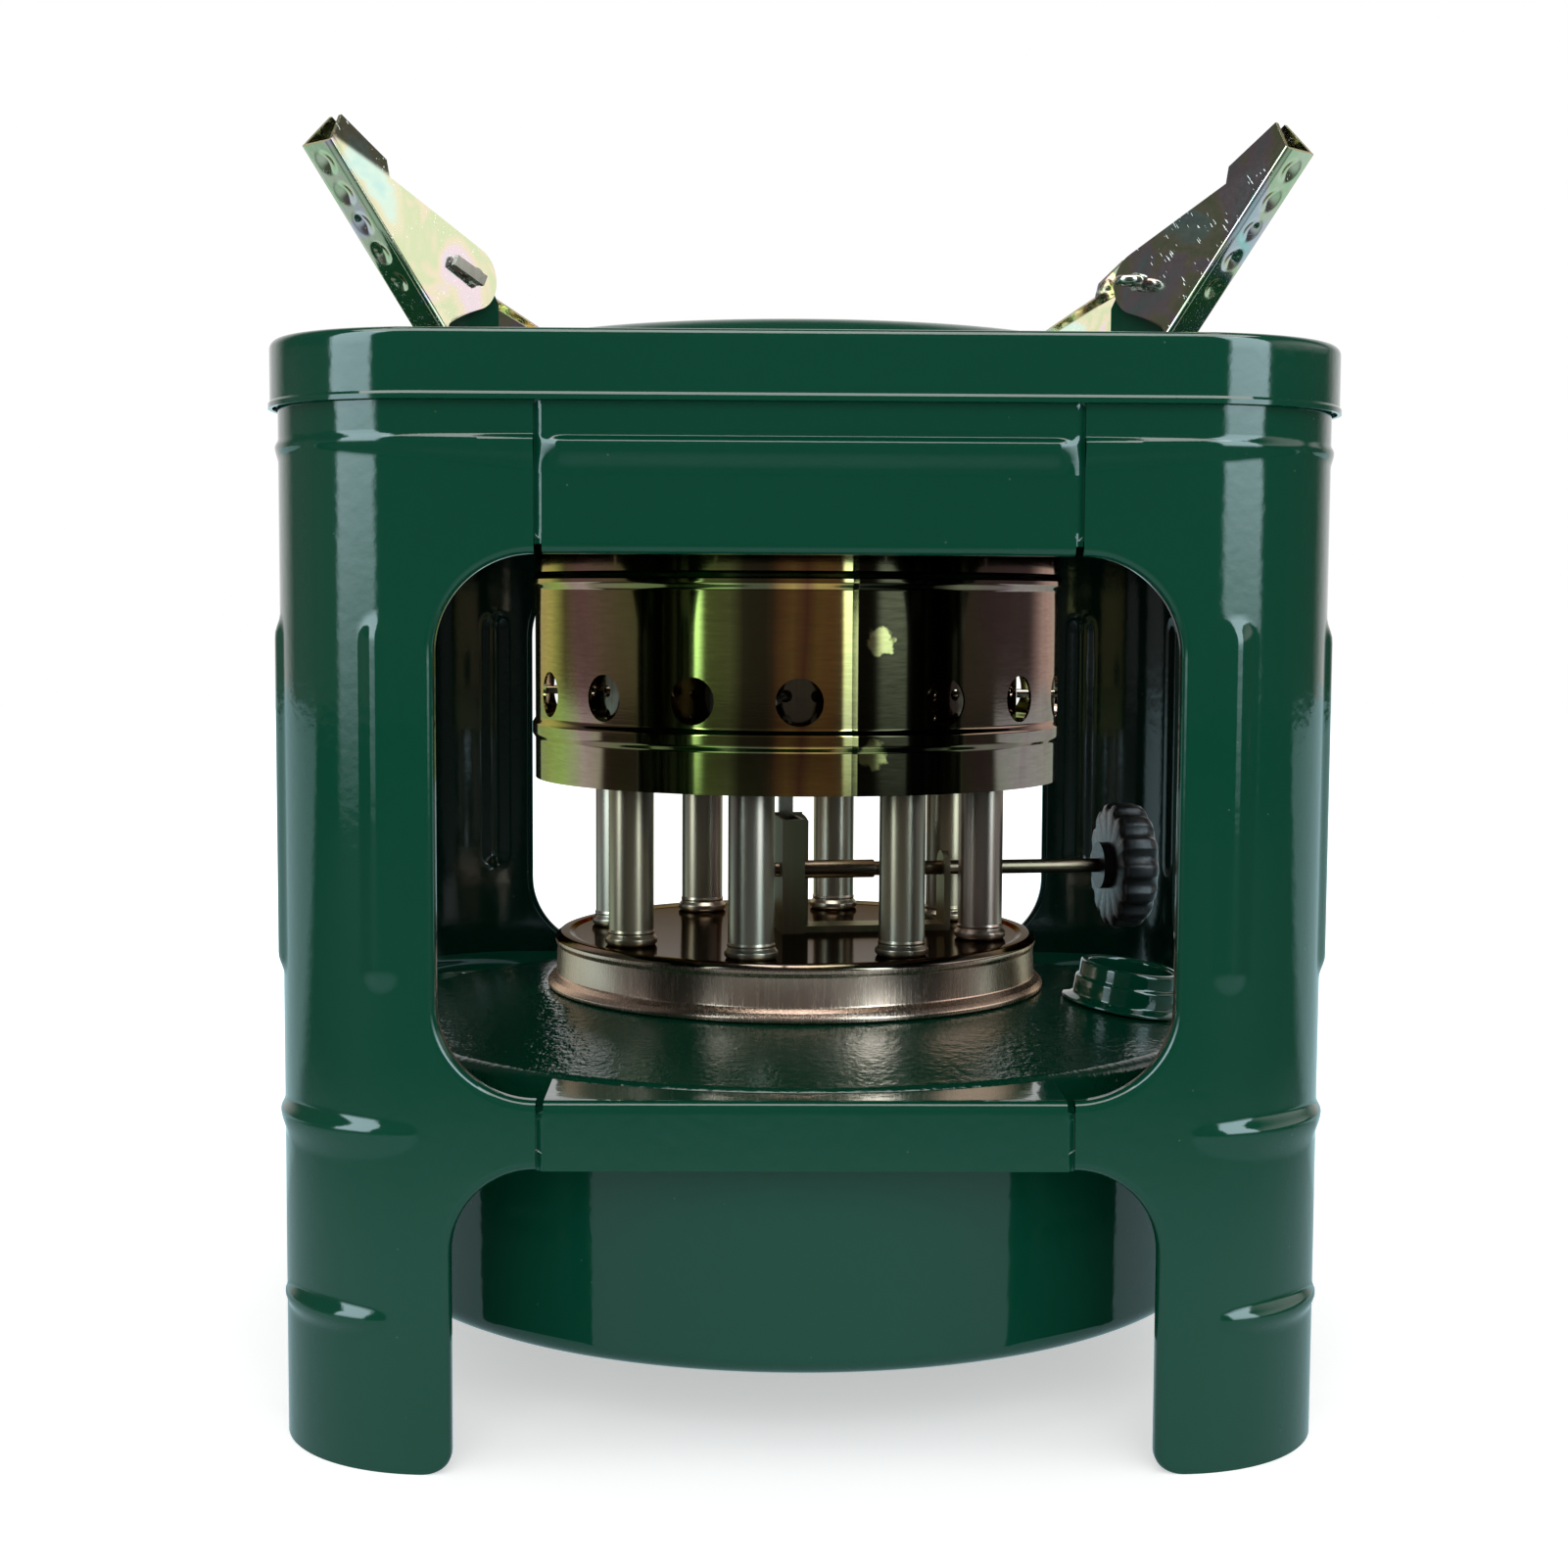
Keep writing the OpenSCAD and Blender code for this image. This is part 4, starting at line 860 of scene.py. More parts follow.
class Finishes:
    """Every finish of the stove, built once."""

    def __init__(self) -> None:
        """Makes the shared effects and then the materials."""
        for make in (build_peel, build_specks, build_striae, build_scratches):
            make()
        for effect in FILM_STOPS:
            build_film(effect)
        self.enamels()
        self.plates()
        self.plastic: Material = PlasticFinish().build()
        self.cotton: Material = CottonFinish().build()

    def enamels(self) -> None:
        """Makes the enamel of the outside, a darker copy of it for the panels' inward faces as painted
        shade, and the enamel of the tank's top.
        """
        self.enamel: Material = EnamelFinish().build()
        # Painted shade: a much darker copy of the green enamel for the inward faces inside the frame.
        self.inside: Material = EnamelFinish(
            "inner_enamel_painted_shade",
            color=(0.0010, 0.013, 0.008),
            pale=(0.0014, 0.018, 0.011),
            roughness=0.12,
        ).build()
        self.tank: Material = EnamelFinish(
            "hammered_enamel",
            color=(0.0012, 0.038, 0.019),
            pale=(0.0018, 0.044, 0.023),
            roughness=0.09,
            peel_scale=480.0,
            peel_fine=0.5,
            peel_depth=0.00016,
            specks=0.1,
        ).build()

    def plates(self) -> None:
        """Makes the zinc plate and the bare steel of the pieces that show them."""
        # The drum's colour is mostly painted reflection, keyed to the azimuth from the front.
        self.drum: Material = DrumFinish(
            "drum_plate_painted_reflections",
            play=0.86,
            film_scale=42.0,
            film_stretch=(1.0, 1.0, 0.25),
            line_scale=1500.0,
            line_stretch=(0.12, 0.12, 1.0),
            line_depth=0.000003,
            dark_lines=0.55,
            roughness=0.085,
            rough_play=0.06,
        ).build()
        # Painted shade: the top of the burner base, the gallery and the flame tubes sit under the drum and
        # lid and take this much darker copy of the plate.
        self.base: Material = PlatedFinish(
            "base_plate_painted_shade",
            tint=(0.24, 0.17, 0.11),
            edge=(0.17, 0.14, 0.11),
            play=0.22,
            film=Effect.PALE_FILM,
            film_scale=14.0,
            shift=0.35,
            line_scale=1400.0,
            line_depth=0.000005,
            dark_lines=0.8,
            roughness=0.10,
            rough_play=0.10,
        ).build()
        # Partly painted light: the pink is the plate's own, but the outer side of the same pressing, lit
        # below the drum, takes this much paler copy of the plate.
        self.side: Material = PlatedFinish(
            "base_side_plate_painted_light",
            tint=(1.0, 0.70, 0.54),
            play=0.06,
            film=Effect.PALE_FILM,
            film_scale=30.0,
            film_stretch=(1.0, 1.0, 0.2),
            line_scale=1900.0,
            line_stretch=(1.0, 1.0, 0.03),
            line_depth=0.00003,
            dark_lines=0.55,
            roughness=0.26,
            rough_play=0.16,
        ).build()
        self.tubes: Material = PlatedFinish(
            "tube_plate",
            tint=(0.38, 0.27, 0.19),
            play=0.22,
            film=Effect.PALE_FILM,
            film_scale=70.0,
            film_stretch=(1.0, 1.0, 0.1),
            line_scale=1500.0,
            line_stretch=(1.0, 1.0, 0.01),
            line_depth=0.000003,
            roughness=0.30,
        ).build()
        self.post: Material = PlatedFinish(
            "post_steel", tint=(0.24, 0.23, 0.19), play=0.2, roughness=0.34, dark_lines=0.4
        ).build()
        self.shaft: Material = PlatedFinish(
            "shaft_plate",
            tint=(0.13, 0.095, 0.075),
            play=0.06,
            film_scale=40.0,
            dark_lines=0.4,
            roughness=0.32,
        ).build()
        self.support: Material = PlatedFinish(
            "support_plate",
            tint=(0.60, 0.62, 0.58),
            play=0.95,
            film=Effect.PALE_FILM,
            film_scale=55.0,
            film_stretch=(1.0, 1.0, 1.0),
            shift=0.5,
            line_stretch=(1.0, 1.0, 1.0),
            dark_lines=0.1,
            roughness=0.12,
            scratch=0.70,
            scratch_stretch=(0.012, 1.0, 1.0),
            scratch_turn=(0.0, 50.0, -45.0),
        ).build()
        self.steel: Material = PlatedFinish(
            "bright_steel", tint=(0.62, 0.61, 0.57), play=0.12, roughness=0.2
        ).build()


# Sheet frame


@dataclass
class LegPanel:
    """One corner panel: a bent sheet with flanged openings and pressed beads."""

    half: float = 104.0
    radius: float = 32.5
    seam: float = 51.2
    sheet: float = 0.8
    height: float = 216.2
    bend: float = 1.8
    flange: float = 3.4
    gap_half: float = 67.5
    gap_top: float = 59.0
    foot: float = 4.0
    window_half: float = 70.0
    window_low: float = 72.3
    window_high: float = 175.5
    columns: int = 132
    bead_place: float = 16.45
    bead_z: float = 128.4
    bead_half: float = 31.2
    bead_wide: float = 4.7
    bead_rise: float = 1.12
    creases: tuple[tuple[float, float, float, float], ...] = ((66.1, 3.1, 6.4, 23.0), (29.7, 2.9, 4.2, 17.5))
    crease_rise: float = 1.5
    swage_z: float = 196.4
    swage_reach: float = 46.0
    swage_rise: float = 1.15

    def along(self, u: np.ndarray) -> tuple[np.ndarray, np.ndarray, np.ndarray]:
        """Point, tangent and outward normal at distance u from the front seam.

        Args:
            u: Distances along the sheet, in millimetres.

        Returns:
            Three arrays of plan vectors.
        """
        centre = self.half - self.radius
        flat = centre - self.seam
        arc = self.radius * math.pi / 2
        turn = np.clip((u - flat) / self.radius, 0, math.pi / 2)
        normal = np.stack([np.sin(turn), -np.cos(turn)], -1)
        tangent = np.stack([np.cos(turn), np.sin(turn)], -1)
        before = np.minimum(u - flat, 0)
        after = np.maximum(u - flat - arc, 0)
        point = np.array([centre, -centre]) + normal * self.radius + tangent * (before + after)[..., None]
        return point, tangent, normal

    @property
    def length(self) -> float:
        """Length of the unrolled panel."""
        return 2 * (self.half - self.radius - self.seam) + self.radius * math.pi / 2

    def rows(self) -> np.ndarray:
        """Rows of the grid: height, edge distance, and the fold's direction and share."""
        out: list[tuple[float, float, float, float, float]] = []

        def corner(middle: float, reach: float, angles: list[float]) -> None:
            """Adds the rows round a corner of an opening."""
            for a in angles:
                c, s = math.cos(a), math.sin(a)
                out.append((middle + reach * s, reach * c, -c, -s, 1))

        edge = self.gap_half + self.bend - self.seam
        for a in quarter(10)[:-1]:
            z = self.foot * (1 - math.cos(a))
            back = self.foot - math.sqrt(self.foot**2 - (self.foot - z) ** 2)
            out.append((z, edge + back, -1, 0, 1))
        gap_r = self.gap_half - self.seam
        out += [(z, edge, -1, 0, 1) for z in spread(self.foot, self.gap_top - gap_r, 0.8)]
        corner(self.gap_top - gap_r, gap_r + self.bend, quarter(24))
        between = spread(self.gap_top + self.bend, self.window_low - self.bend, 0.5)
        out += [(z, 0.0, 0, -1, 0) for z in between]
        win_r = self.window_half - self.seam
        reach = win_r + self.bend
        corner(self.window_low + win_r, reach, [math.pi / 2 * (k / 26 - 1) for k in range(27)])
        upright = spread(self.window_low + win_r, self.window_high - win_r, 0.9)
        out += [(z, reach, -1, 0, 1) for z in upright[1:]]
        corner(self.window_high - win_r, reach, quarter(26))
        out += [(z, 0.0, 0, 1, 0) for z in spread(self.window_high + self.bend, self.height, 0.45)]
        out.append((self.height, 0.0, 0, 1, 0))
        return np.array(out, float)

    def relief(self, u: np.ndarray, z: np.ndarray) -> np.ndarray:
        """Rise of the pressed beads over the sheet."""
        middle = self.length / 2
        rise = np.zeros_like(u)
        for side in (-self.bead_place, self.bead_place):
            past = np.maximum(np.abs(z - self.bead_z) - self.bead_half, 0)
            bead = hump(np.hypot(u - middle - side, past), self.bead_wide)
            rise = np.maximum(rise, self.bead_rise * bead)
        for crest, above, below, reach in self.creases:
            lens = np.clip(1 - ((u - middle) / reach) ** 2, 0, 1)
            off = (z - crest) / np.maximum(lens, 0.04) ** 0.35
            ridge = np.where(off > 0, hump(off, above), hump(off, below))
            rise = np.maximum(rise, self.crease_rise * lens**0.6 * ridge)
        for side in (u, self.length - u):
            taper = np.clip(1 - side / self.swage_reach, 0, 1)
            drop = self.swage_z - z
            crest = np.where(drop < 0, hump(drop, 1.5), hump(drop, 1.4 + 4.6 * taper))
            rise = np.maximum(rise, self.swage_rise * taper**0.7 * crest)
        return rise

    def fold(self, start: np.ndarray, sign: float, rows: np.ndarray) -> tuple[np.ndarray, np.ndarray]:
        """Bends the sheet inward along one side of the openings.

        Args:
            start: Where each row of the face ends.
            sign: 1 at the sheet's start, -1 at its end.
            rows: The rows of the grid.

        Returns:
            Points and normals, from the face inward.
        """
        share = rows[:, 4:]
        plan, tangent, normal = self.along(start)
        toward = np.concatenate([tangent * (sign * rows[:, 2:3]), rows[:, 3:4]], -1)
        out = np.concatenate([normal, np.zeros_like(share)], -1)
        base = np.concatenate([plan, rows[:, :1]], -1)
        points, normals = [], []
        for a in quarter(7)[1:]:
            step = toward * math.sin(a) - out * (1 - math.cos(a))
            points.append(base + step * (self.bend * share))
            normals.append(np.where(share > 0, out * math.cos(a) + toward * math.sin(a), out))
        points.append(base + (toward * self.bend - out * self.flange) * share)
        normals.append(np.where(share > 0, toward, out))
        return np.stack(points, 1), np.stack(normals, 1)

    def build(self) -> Object:
        """Makes the panel at the front right."""
        rows = self.rows()
        edge = rows[:, 1]
        t = (np.arange(self.columns) + 0.5) / self.columns
        t = np.concatenate([[0], t, [1]])
        u = edge[:, None] * (1 - t) + (self.length - edge)[:, None] * t
        heights = np.broadcast_to(rows[:, :1], u.shape)
        plan, _, normal = self.along(u)
        near_edge = np.minimum(u - edge[:, None], self.length - edge[:, None] - u)
        fade = np.where(rows[:, 4:] > 0, np.clip(near_edge / 2.0, 0, 1), 1)
        rise = self.relief(u, heights) * fade
        face = np.concatenate([plan + normal * rise[..., None], heights[..., None]], -1)
        face_normals = np.concatenate([normal, np.zeros_like(heights)[..., None]], -1)
        first, first_normals = self.fold(edge, 1.0, rows)
        last, last_normals = self.fold(self.length - edge, -1.0, rows)
        points = np.concatenate([first[:, ::-1], face, last], 1)
        normals = np.concatenate([first_normals[:, ::-1], face_normals, last_normals], 1)
        return skin("leg_panel_front_right", points, normals, self.sheet)


@dataclass
class Strip:
    """A strip between two leg panels, with joggled ends behind them."""

    half: float = 104.0
    joggle: float = 49.7
    joggle_run: float = 1.3
    step_back: float = 0.85
    slit: float = 51.12
    tab: float = 59.6
    tab_inset: float = 3.6
    sheet: float = 0.8
    bend: float = 1.8
    flange: float = 3.4

    def stations(self) -> list[Point2]:
        """Places along half the strip: share of the middle part and of the end part."""
        middle = [(x / self.joggle, 0.0) for x in spread(0, self.joggle, 1.2)]
        return middle + [(1.0, k / 16) for k in range(17)]

    def rise(self, x: float, z: float) -> float:
        """Rise of a swage over the face, which a plain strip hasn't got."""
        return 0.0

    def row(self, end: float, y: float, z: float, normal: Point2) -> Row:
        """One row of points across the strip.

        Args:
            end: How far the row reaches from the middle.
            y: Depth behind the face.
            z: Height.
            normal: Outward normal in depth and height.

        Returns:
            The points and the normals.
        """
        points = []
        half = self.stations()
        for sign, part in ((-1, half[::-1]), (1, half[1:])):
            for middle, outer in part:
                x = self.joggle * middle if outer == 0 else self.joggle + (end - self.joggle) * outer
                share = min(1.0, max(0.0, (x - self.joggle) / self.joggle_run))
                back = self.step_back * (1 - math.cos(math.pi * share)) / 2
                points.append((sign * x, -self.half + y + back - self.rise(x, z), z))
        return points, [(0.0, *normal)] * len(points)

    def sheet_from(self, name: str, rows: list[Row]) -> Object:
        """Makes the strip from its rows."""
        points = np.array([points for points, _ in rows], float)
        normals = np.array([normals for _, normals in rows], float)
        return skin(name, points, normals, self.sheet)


@dataclass
class Apron(Strip):
    """Upper strip, with a swage that fades downward and a fold at its lower edge."""

    low: float = 175.5
    top: float = 216.2
    tab_top: float = 203.8
    swage: float = 196.8
    swage_crest: float = 0.9
    swage_foot: float = 7.0
    swage_rise: float = 1.4
    swage_end: float = 49.6
    swage_run: float = 3.4

    def build(self) -> Object:
        """Makes the front apron."""
        rows = []
        for depth in (self.flange, (self.flange + self.bend) / 2):
            rows.append(self.row(self.joggle, depth, self.low, (0, -1)))
        for a in quarter(7)[::-1]:
            c, s = math.cos(a), math.sin(a)
            z = self.low + self.bend * (1 - s)
            rows.append(self.row(self.joggle, self.bend * (1 - c), z, (-c, -s)))
        heights = spread(self.low + self.bend, 188.5, 1.0) + spread(188.5, 198.2, 0.3)
        heights += spread(198.2, self.top, 1.0) + [self.top]
        for z in heights:
            end = self.tab if self.low + self.tab_inset < z < self.tab_top else self.slit
            rows.append(self.row(end, 0.0, z, (-1, 0)))
        return self.sheet_from("apron_strip_front", rows)

    def rise(self, x: float, z: float) -> float:
        """Rise of the swage: a crisp crest near its top that fades downward."""
        drop = self.swage - z
        crest, foot = self.swage_crest, self.swage_foot
        if drop < -crest or drop > foot:
            return 0.0
        if drop < crest:
            shape = smooth((drop + crest) / (2 * crest))
        else:
            shape = (1 + math.cos(math.pi * (drop - crest) / (foot - crest))) / 2
        return self.swage_rise * shape * smooth((self.swage_end - x) / self.swage_run)


@dataclass
class Crossbar(Strip):
    """Lower strip, whose top flange runs in to the tank."""

    low: float = 59.0
    top: float = 72.3
    tank: float = 95.55

    def build(self) -> Object:
        """Makes the front crossbar."""
        rows = []
        for z in spread(self.low, self.top - self.bend, 0.7):
            end = self.tab if self.low + self.tab_inset < z < self.top - self.tab_inset else self.slit
            rows.append(self.row(end, 0.0, z, (-1, 0)))
        for a in quarter(7):
            c, s = math.cos(a), math.sin(a)
            z = self.top - self.bend * (1 - s)
            rows.append(self.row(self.joggle, self.bend * (1 - c), z, (-c, s)))
        points, normals = self.row(self.joggle, self.bend, self.top, (0, 1))
        ends = [-math.sqrt(self.tank**2 - x**2) for x, _, _ in points]
        for k in range(1, 11):
            rows.append(([(x, y + (end - y) * k / 10, z) for (x, y, z), end in zip(points, ends)], normals))
        return self.sheet_from("crossbar_strip_front", rows)


@dataclass
class Lid:
    """Pressed lid: turned-down rim with a hemmed edge, and a collar round its hole."""

    half: float = 105.5
    radius: float = 34.0
    top: float = 217.0
    rim: float = 203.8
    hem: float = 0.35
    hem_height: float = 0.9
    bend: float = 1.8
    sheet: float = 0.8
    collar_outer: float = 76.4
    collar_width: float = 12.0
    collar_height: float = 6.5
    hole: float = 61.8
    lip: float = 1.6
    lip_depth: float = 5.2

    def outline(self) -> list[tuple[float, float, float, float]]:
        """Plan of the rim: the corner centre and the normal at each station."""
        centre = self.half - self.radius
        out = []
        for side in range(4):
            turn = math.pi / 2 * side
            c, s = math.cos(turn), math.sin(turn)

            def spin(x: float, y: float) -> Point2:
                """Turns a plan vector to this side."""
                return x * c - y * s, x * s + y * c

            for x in spread(-centre, centre, 5.0):
                out.append((*spin(x, -centre), *spin(0, -1)))
            for a in quarter(30)[:-1]:
                out.append((*spin(centre, -centre), *spin(math.sin(a), -math.cos(a))))
        return out

    def build(self) -> Object:
        """Makes the lid."""
        plan = self.outline()
        rows: list[list[Point3]] = []
        normals: list[list[Point3]] = []

        def outer(offset: float, z: float, out: float, up: float) -> None:
            """Adds a row at an offset from the rim's face."""
            reach = self.radius + offset
            rows.append([(px + nx * reach, py + ny * reach, z) for px, py, nx, ny in plan])
            normals.append([(nx * out, ny * out, up) for _, _, nx, ny in plan])

        outer(self.hem, self.rim, 1, 0)
        outer(self.hem, self.rim + self.hem_height, 1, 0)
        outer(0.0, self.rim + self.hem_height + 0.5, 1, 0)
        for z in spread(self.rim + 2, self.top - self.bend, 1.5):
            outer(0.0, z, 1, 0)
        for a in quarter(8):
            z = self.top - self.bend * (1 - math.sin(a))
            outer(-self.bend * (1 - math.cos(a)), z, math.cos(a), math.sin(a))
        flat = rows[-1]
        directions = [Vector(p[:2]).normalized() for p in flat]

        def round_row(r: float, z: float, out: float, up: float) -> None:
            """Adds a row on a circle."""
            rows.append([(d.x * r, d.y * r, z) for d in directions])
            normals.append([(d.x * out, d.y * out, up) for d in directions])

        for k in range(1, 9):
            row = []
            for (x, y, _), d in zip(flat, directions):
                goal = d * self.collar_outer
                row.append((x + (goal.x - x) * k / 8, y + (goal.y - y) * k / 8, self.top))
            rows.append(row)
            normals.append([(0.0, 0.0, 1.0)] * len(row))
        for k in range(1, 15):
            s = k / 14
            slope = self.collar_height * math.pi / 2 * math.sin(math.pi * s) / self.collar_width
            size = math.hypot(1, slope)
            z = self.top + self.collar_height * (1 - math.cos(math.pi * s)) / 2
            round_row(self.collar_outer - self.collar_width * s, z, slope / size, 1 / size)
        crest = self.top + self.collar_height
        inner = self.hole + self.lip
        round_row(inner, crest, 0, 1)
        for a in quarter(7)[1:]:
            z = crest - self.lip * (1 - math.cos(a))
            round_row(inner - self.lip * math.sin(a), z, -math.sin(a), math.cos(a))
        round_row(self.hole, crest - self.lip_depth, -1, 0)
        return skin("lid_pressing", np.array(rows), np.array(normals), self.sheet, wrap=True)


@dataclass
class SheetFrame:
    """The enamelled frame: four leg panels, four aprons, four crossbars and the lid."""

    finishes: Finishes
    # Height above which the inward faces take the painted shade enamel
    inner_shade_from: float = 70.0

    def build(self) -> None:
        """Makes every piece of the frame."""
        leg = LegPanel().build()
        apron = Apron().build()
        bar = Crossbar().build()
        for i, (corner, side) in enumerate(zip(CORNERS, SIDES)):
            for first, stem, label, node in (
                (leg, "leg_panel", corner, "leg"),
                (apron, "apron_strip", side, "apron"),
                (bar, "crossbar_strip", side, "crossbar"),
            ):
                piece = copy_of(first, f"{stem}_{label}", turned("Z", 90.0 * i)) if i else first
                settle(piece, Body.FRAME, Slot.ENAMEL, self.finishes.enamel, f"{node}_{label}")
                self.line(piece)
        settle(Lid().build(), Body.FRAME, Slot.ENAMEL, self.finishes.enamel, "lid")
        for corner in CORNERS:
            dress_node(f"lug_{corner}", self.finishes.enamel, 0.15)

    def line(self, piece: Object) -> None:
        """Gives the faces that look inward above the tank a darker enamel, painted shade for the shade
        inside the frame.
        """
        piece.data.materials.append(self.finishes.inside)
        for face in piece.data.polygons:
            way = Vector((face.center.x, face.center.y)).normalized()
            if face.center.z > self.inner_shade_from * MM and face.normal.xy.dot(way) < -0.3:
                face.material_index = 1


# Tank and burner


@dataclass
class Tank:
    """Round fuel tank with its sloping top and the filler neck."""

    finishes: Finishes
    radius: float = 95.5
    low: float = 16.0
    foot_r: float = 4.0
    seam: float = 66.0
    sheet: float = 0.8
    shoulder_z: float = 70.5
    shoulder_r: float = 2.5
    dome_r: float = 93.0
    dome_low: float = 73.0
    seat_r: float = 57.3
    seat_z: float = 78.55
    mouth: float = 49.3
    filler_place: float = 76.0
    filler_azimuth: float = -12.0
    filler_z: float = 75.667
    filler_rise: float = 5.6
    filler_bore: float = 9.4
    filler_height: float = 9.5
    filler_hole: float = 1.1

    def build(self) -> None:
        """Makes the tank's pieces."""
        enamel = self.finishes.enamel
        settle(self.bowl(), Body.FRAME, Slot.ENAMEL, enamel, "tank_bowl")
        settle(self.top(), Body.FRAME, Slot.ENAMEL, self.finishes.tank, "tank_top")
        settle(self.filler(), Body.FRAME, Slot.ENAMEL, enamel, "filler_neck")

    def bowl(self) -> Object:
        """Makes the bowl with its rounded foot."""
        r, t = self.radius, self.sheet
        outer = [(0.0, self.low)]
        inner = [(0.0, self.low + t)]
        for a in quarter(9):
            c, s = math.cos(a), math.sin(a)
            outer.append((r - self.foot_r + self.foot_r * s, self.low + self.foot_r * (1 - c)))
            q = self.foot_r - t
            inner.append((r - self.foot_r + q * s, self.low + t + q * (1 - c)))
        outer.append((r, self.seam))
        inner.append((r - t, self.seam))
        return lathe("tank_bowl_pressing", outer + inner[::-1], 288)

    def filler_spot(self) -> Matrix:
        """Where the filler neck stands."""
        tilt = math.degrees(math.atan(self.filler_rise / (self.dome_r - self.seat_r)))
        spot = moved(self.filler_place, 0, self.filler_z)
        return turned("Z", self.filler_azimuth) @ spot @ turned("Y", tilt)

    def top(self) -> Object:
        """Makes the sloping top with its filler hole."""
        t = self.sheet
        upper = [(self.radius, self.seam)]
        lower = [(self.radius - t, self.seam)]
        for a in quarter(9):
            c, s = math.cos(a), math.sin(a)
            upper.append((self.dome_r + self.shoulder_r * c, self.shoulder_z + self.shoulder_r * s))
            q = self.shoulder_r - t
            lower.append((self.dome_r + q * c, self.shoulder_z + q * s))
        for k in range(1, 13):
            share = k / 12
            r = self.dome_r + (self.seat_r - self.dome_r) * share
            z = self.dome_low + (self.seat_z - self.dome_low) * share
            upper.append((r, z))
            lower.append((r, z - t))
        upper.append((self.mouth, self.seat_z))
        lower.append((self.mouth, self.seat_z - t))
        top = lathe("tank_top_pressing", upper + lower[::-1], 288, sharp=50)
        hole = rod(self.filler_bore + self.filler_hole, 30, self.filler_spot() @ moved(0, 0, -15), 64)
        return carve(top, [hole], 50)

    def filler(self) -> Object:
        """Makes the filler neck with its step and rolled mouth."""
        bore, top = self.filler_bore, self.filler_height
        body, rim = bore + 2.56, bore + 1.92
        step = top * 0.55
        profile = [
            (bore, -1.6),
            (bore, top),
            (rim, top),
            (rim, step + 0.9),
            (body, step + 0.3),
            (body, 1.7),
            (body + 2.2, 0.95),
            (body + 2.2, 0.3),
            (bore + 0.8, 0.3),
            (bore + 0.8, -1.6),
        ]
        return place(lathe("filler_neck_turned", rounded(profile, 0.8), 128, sharp=60), self.filler_spot())


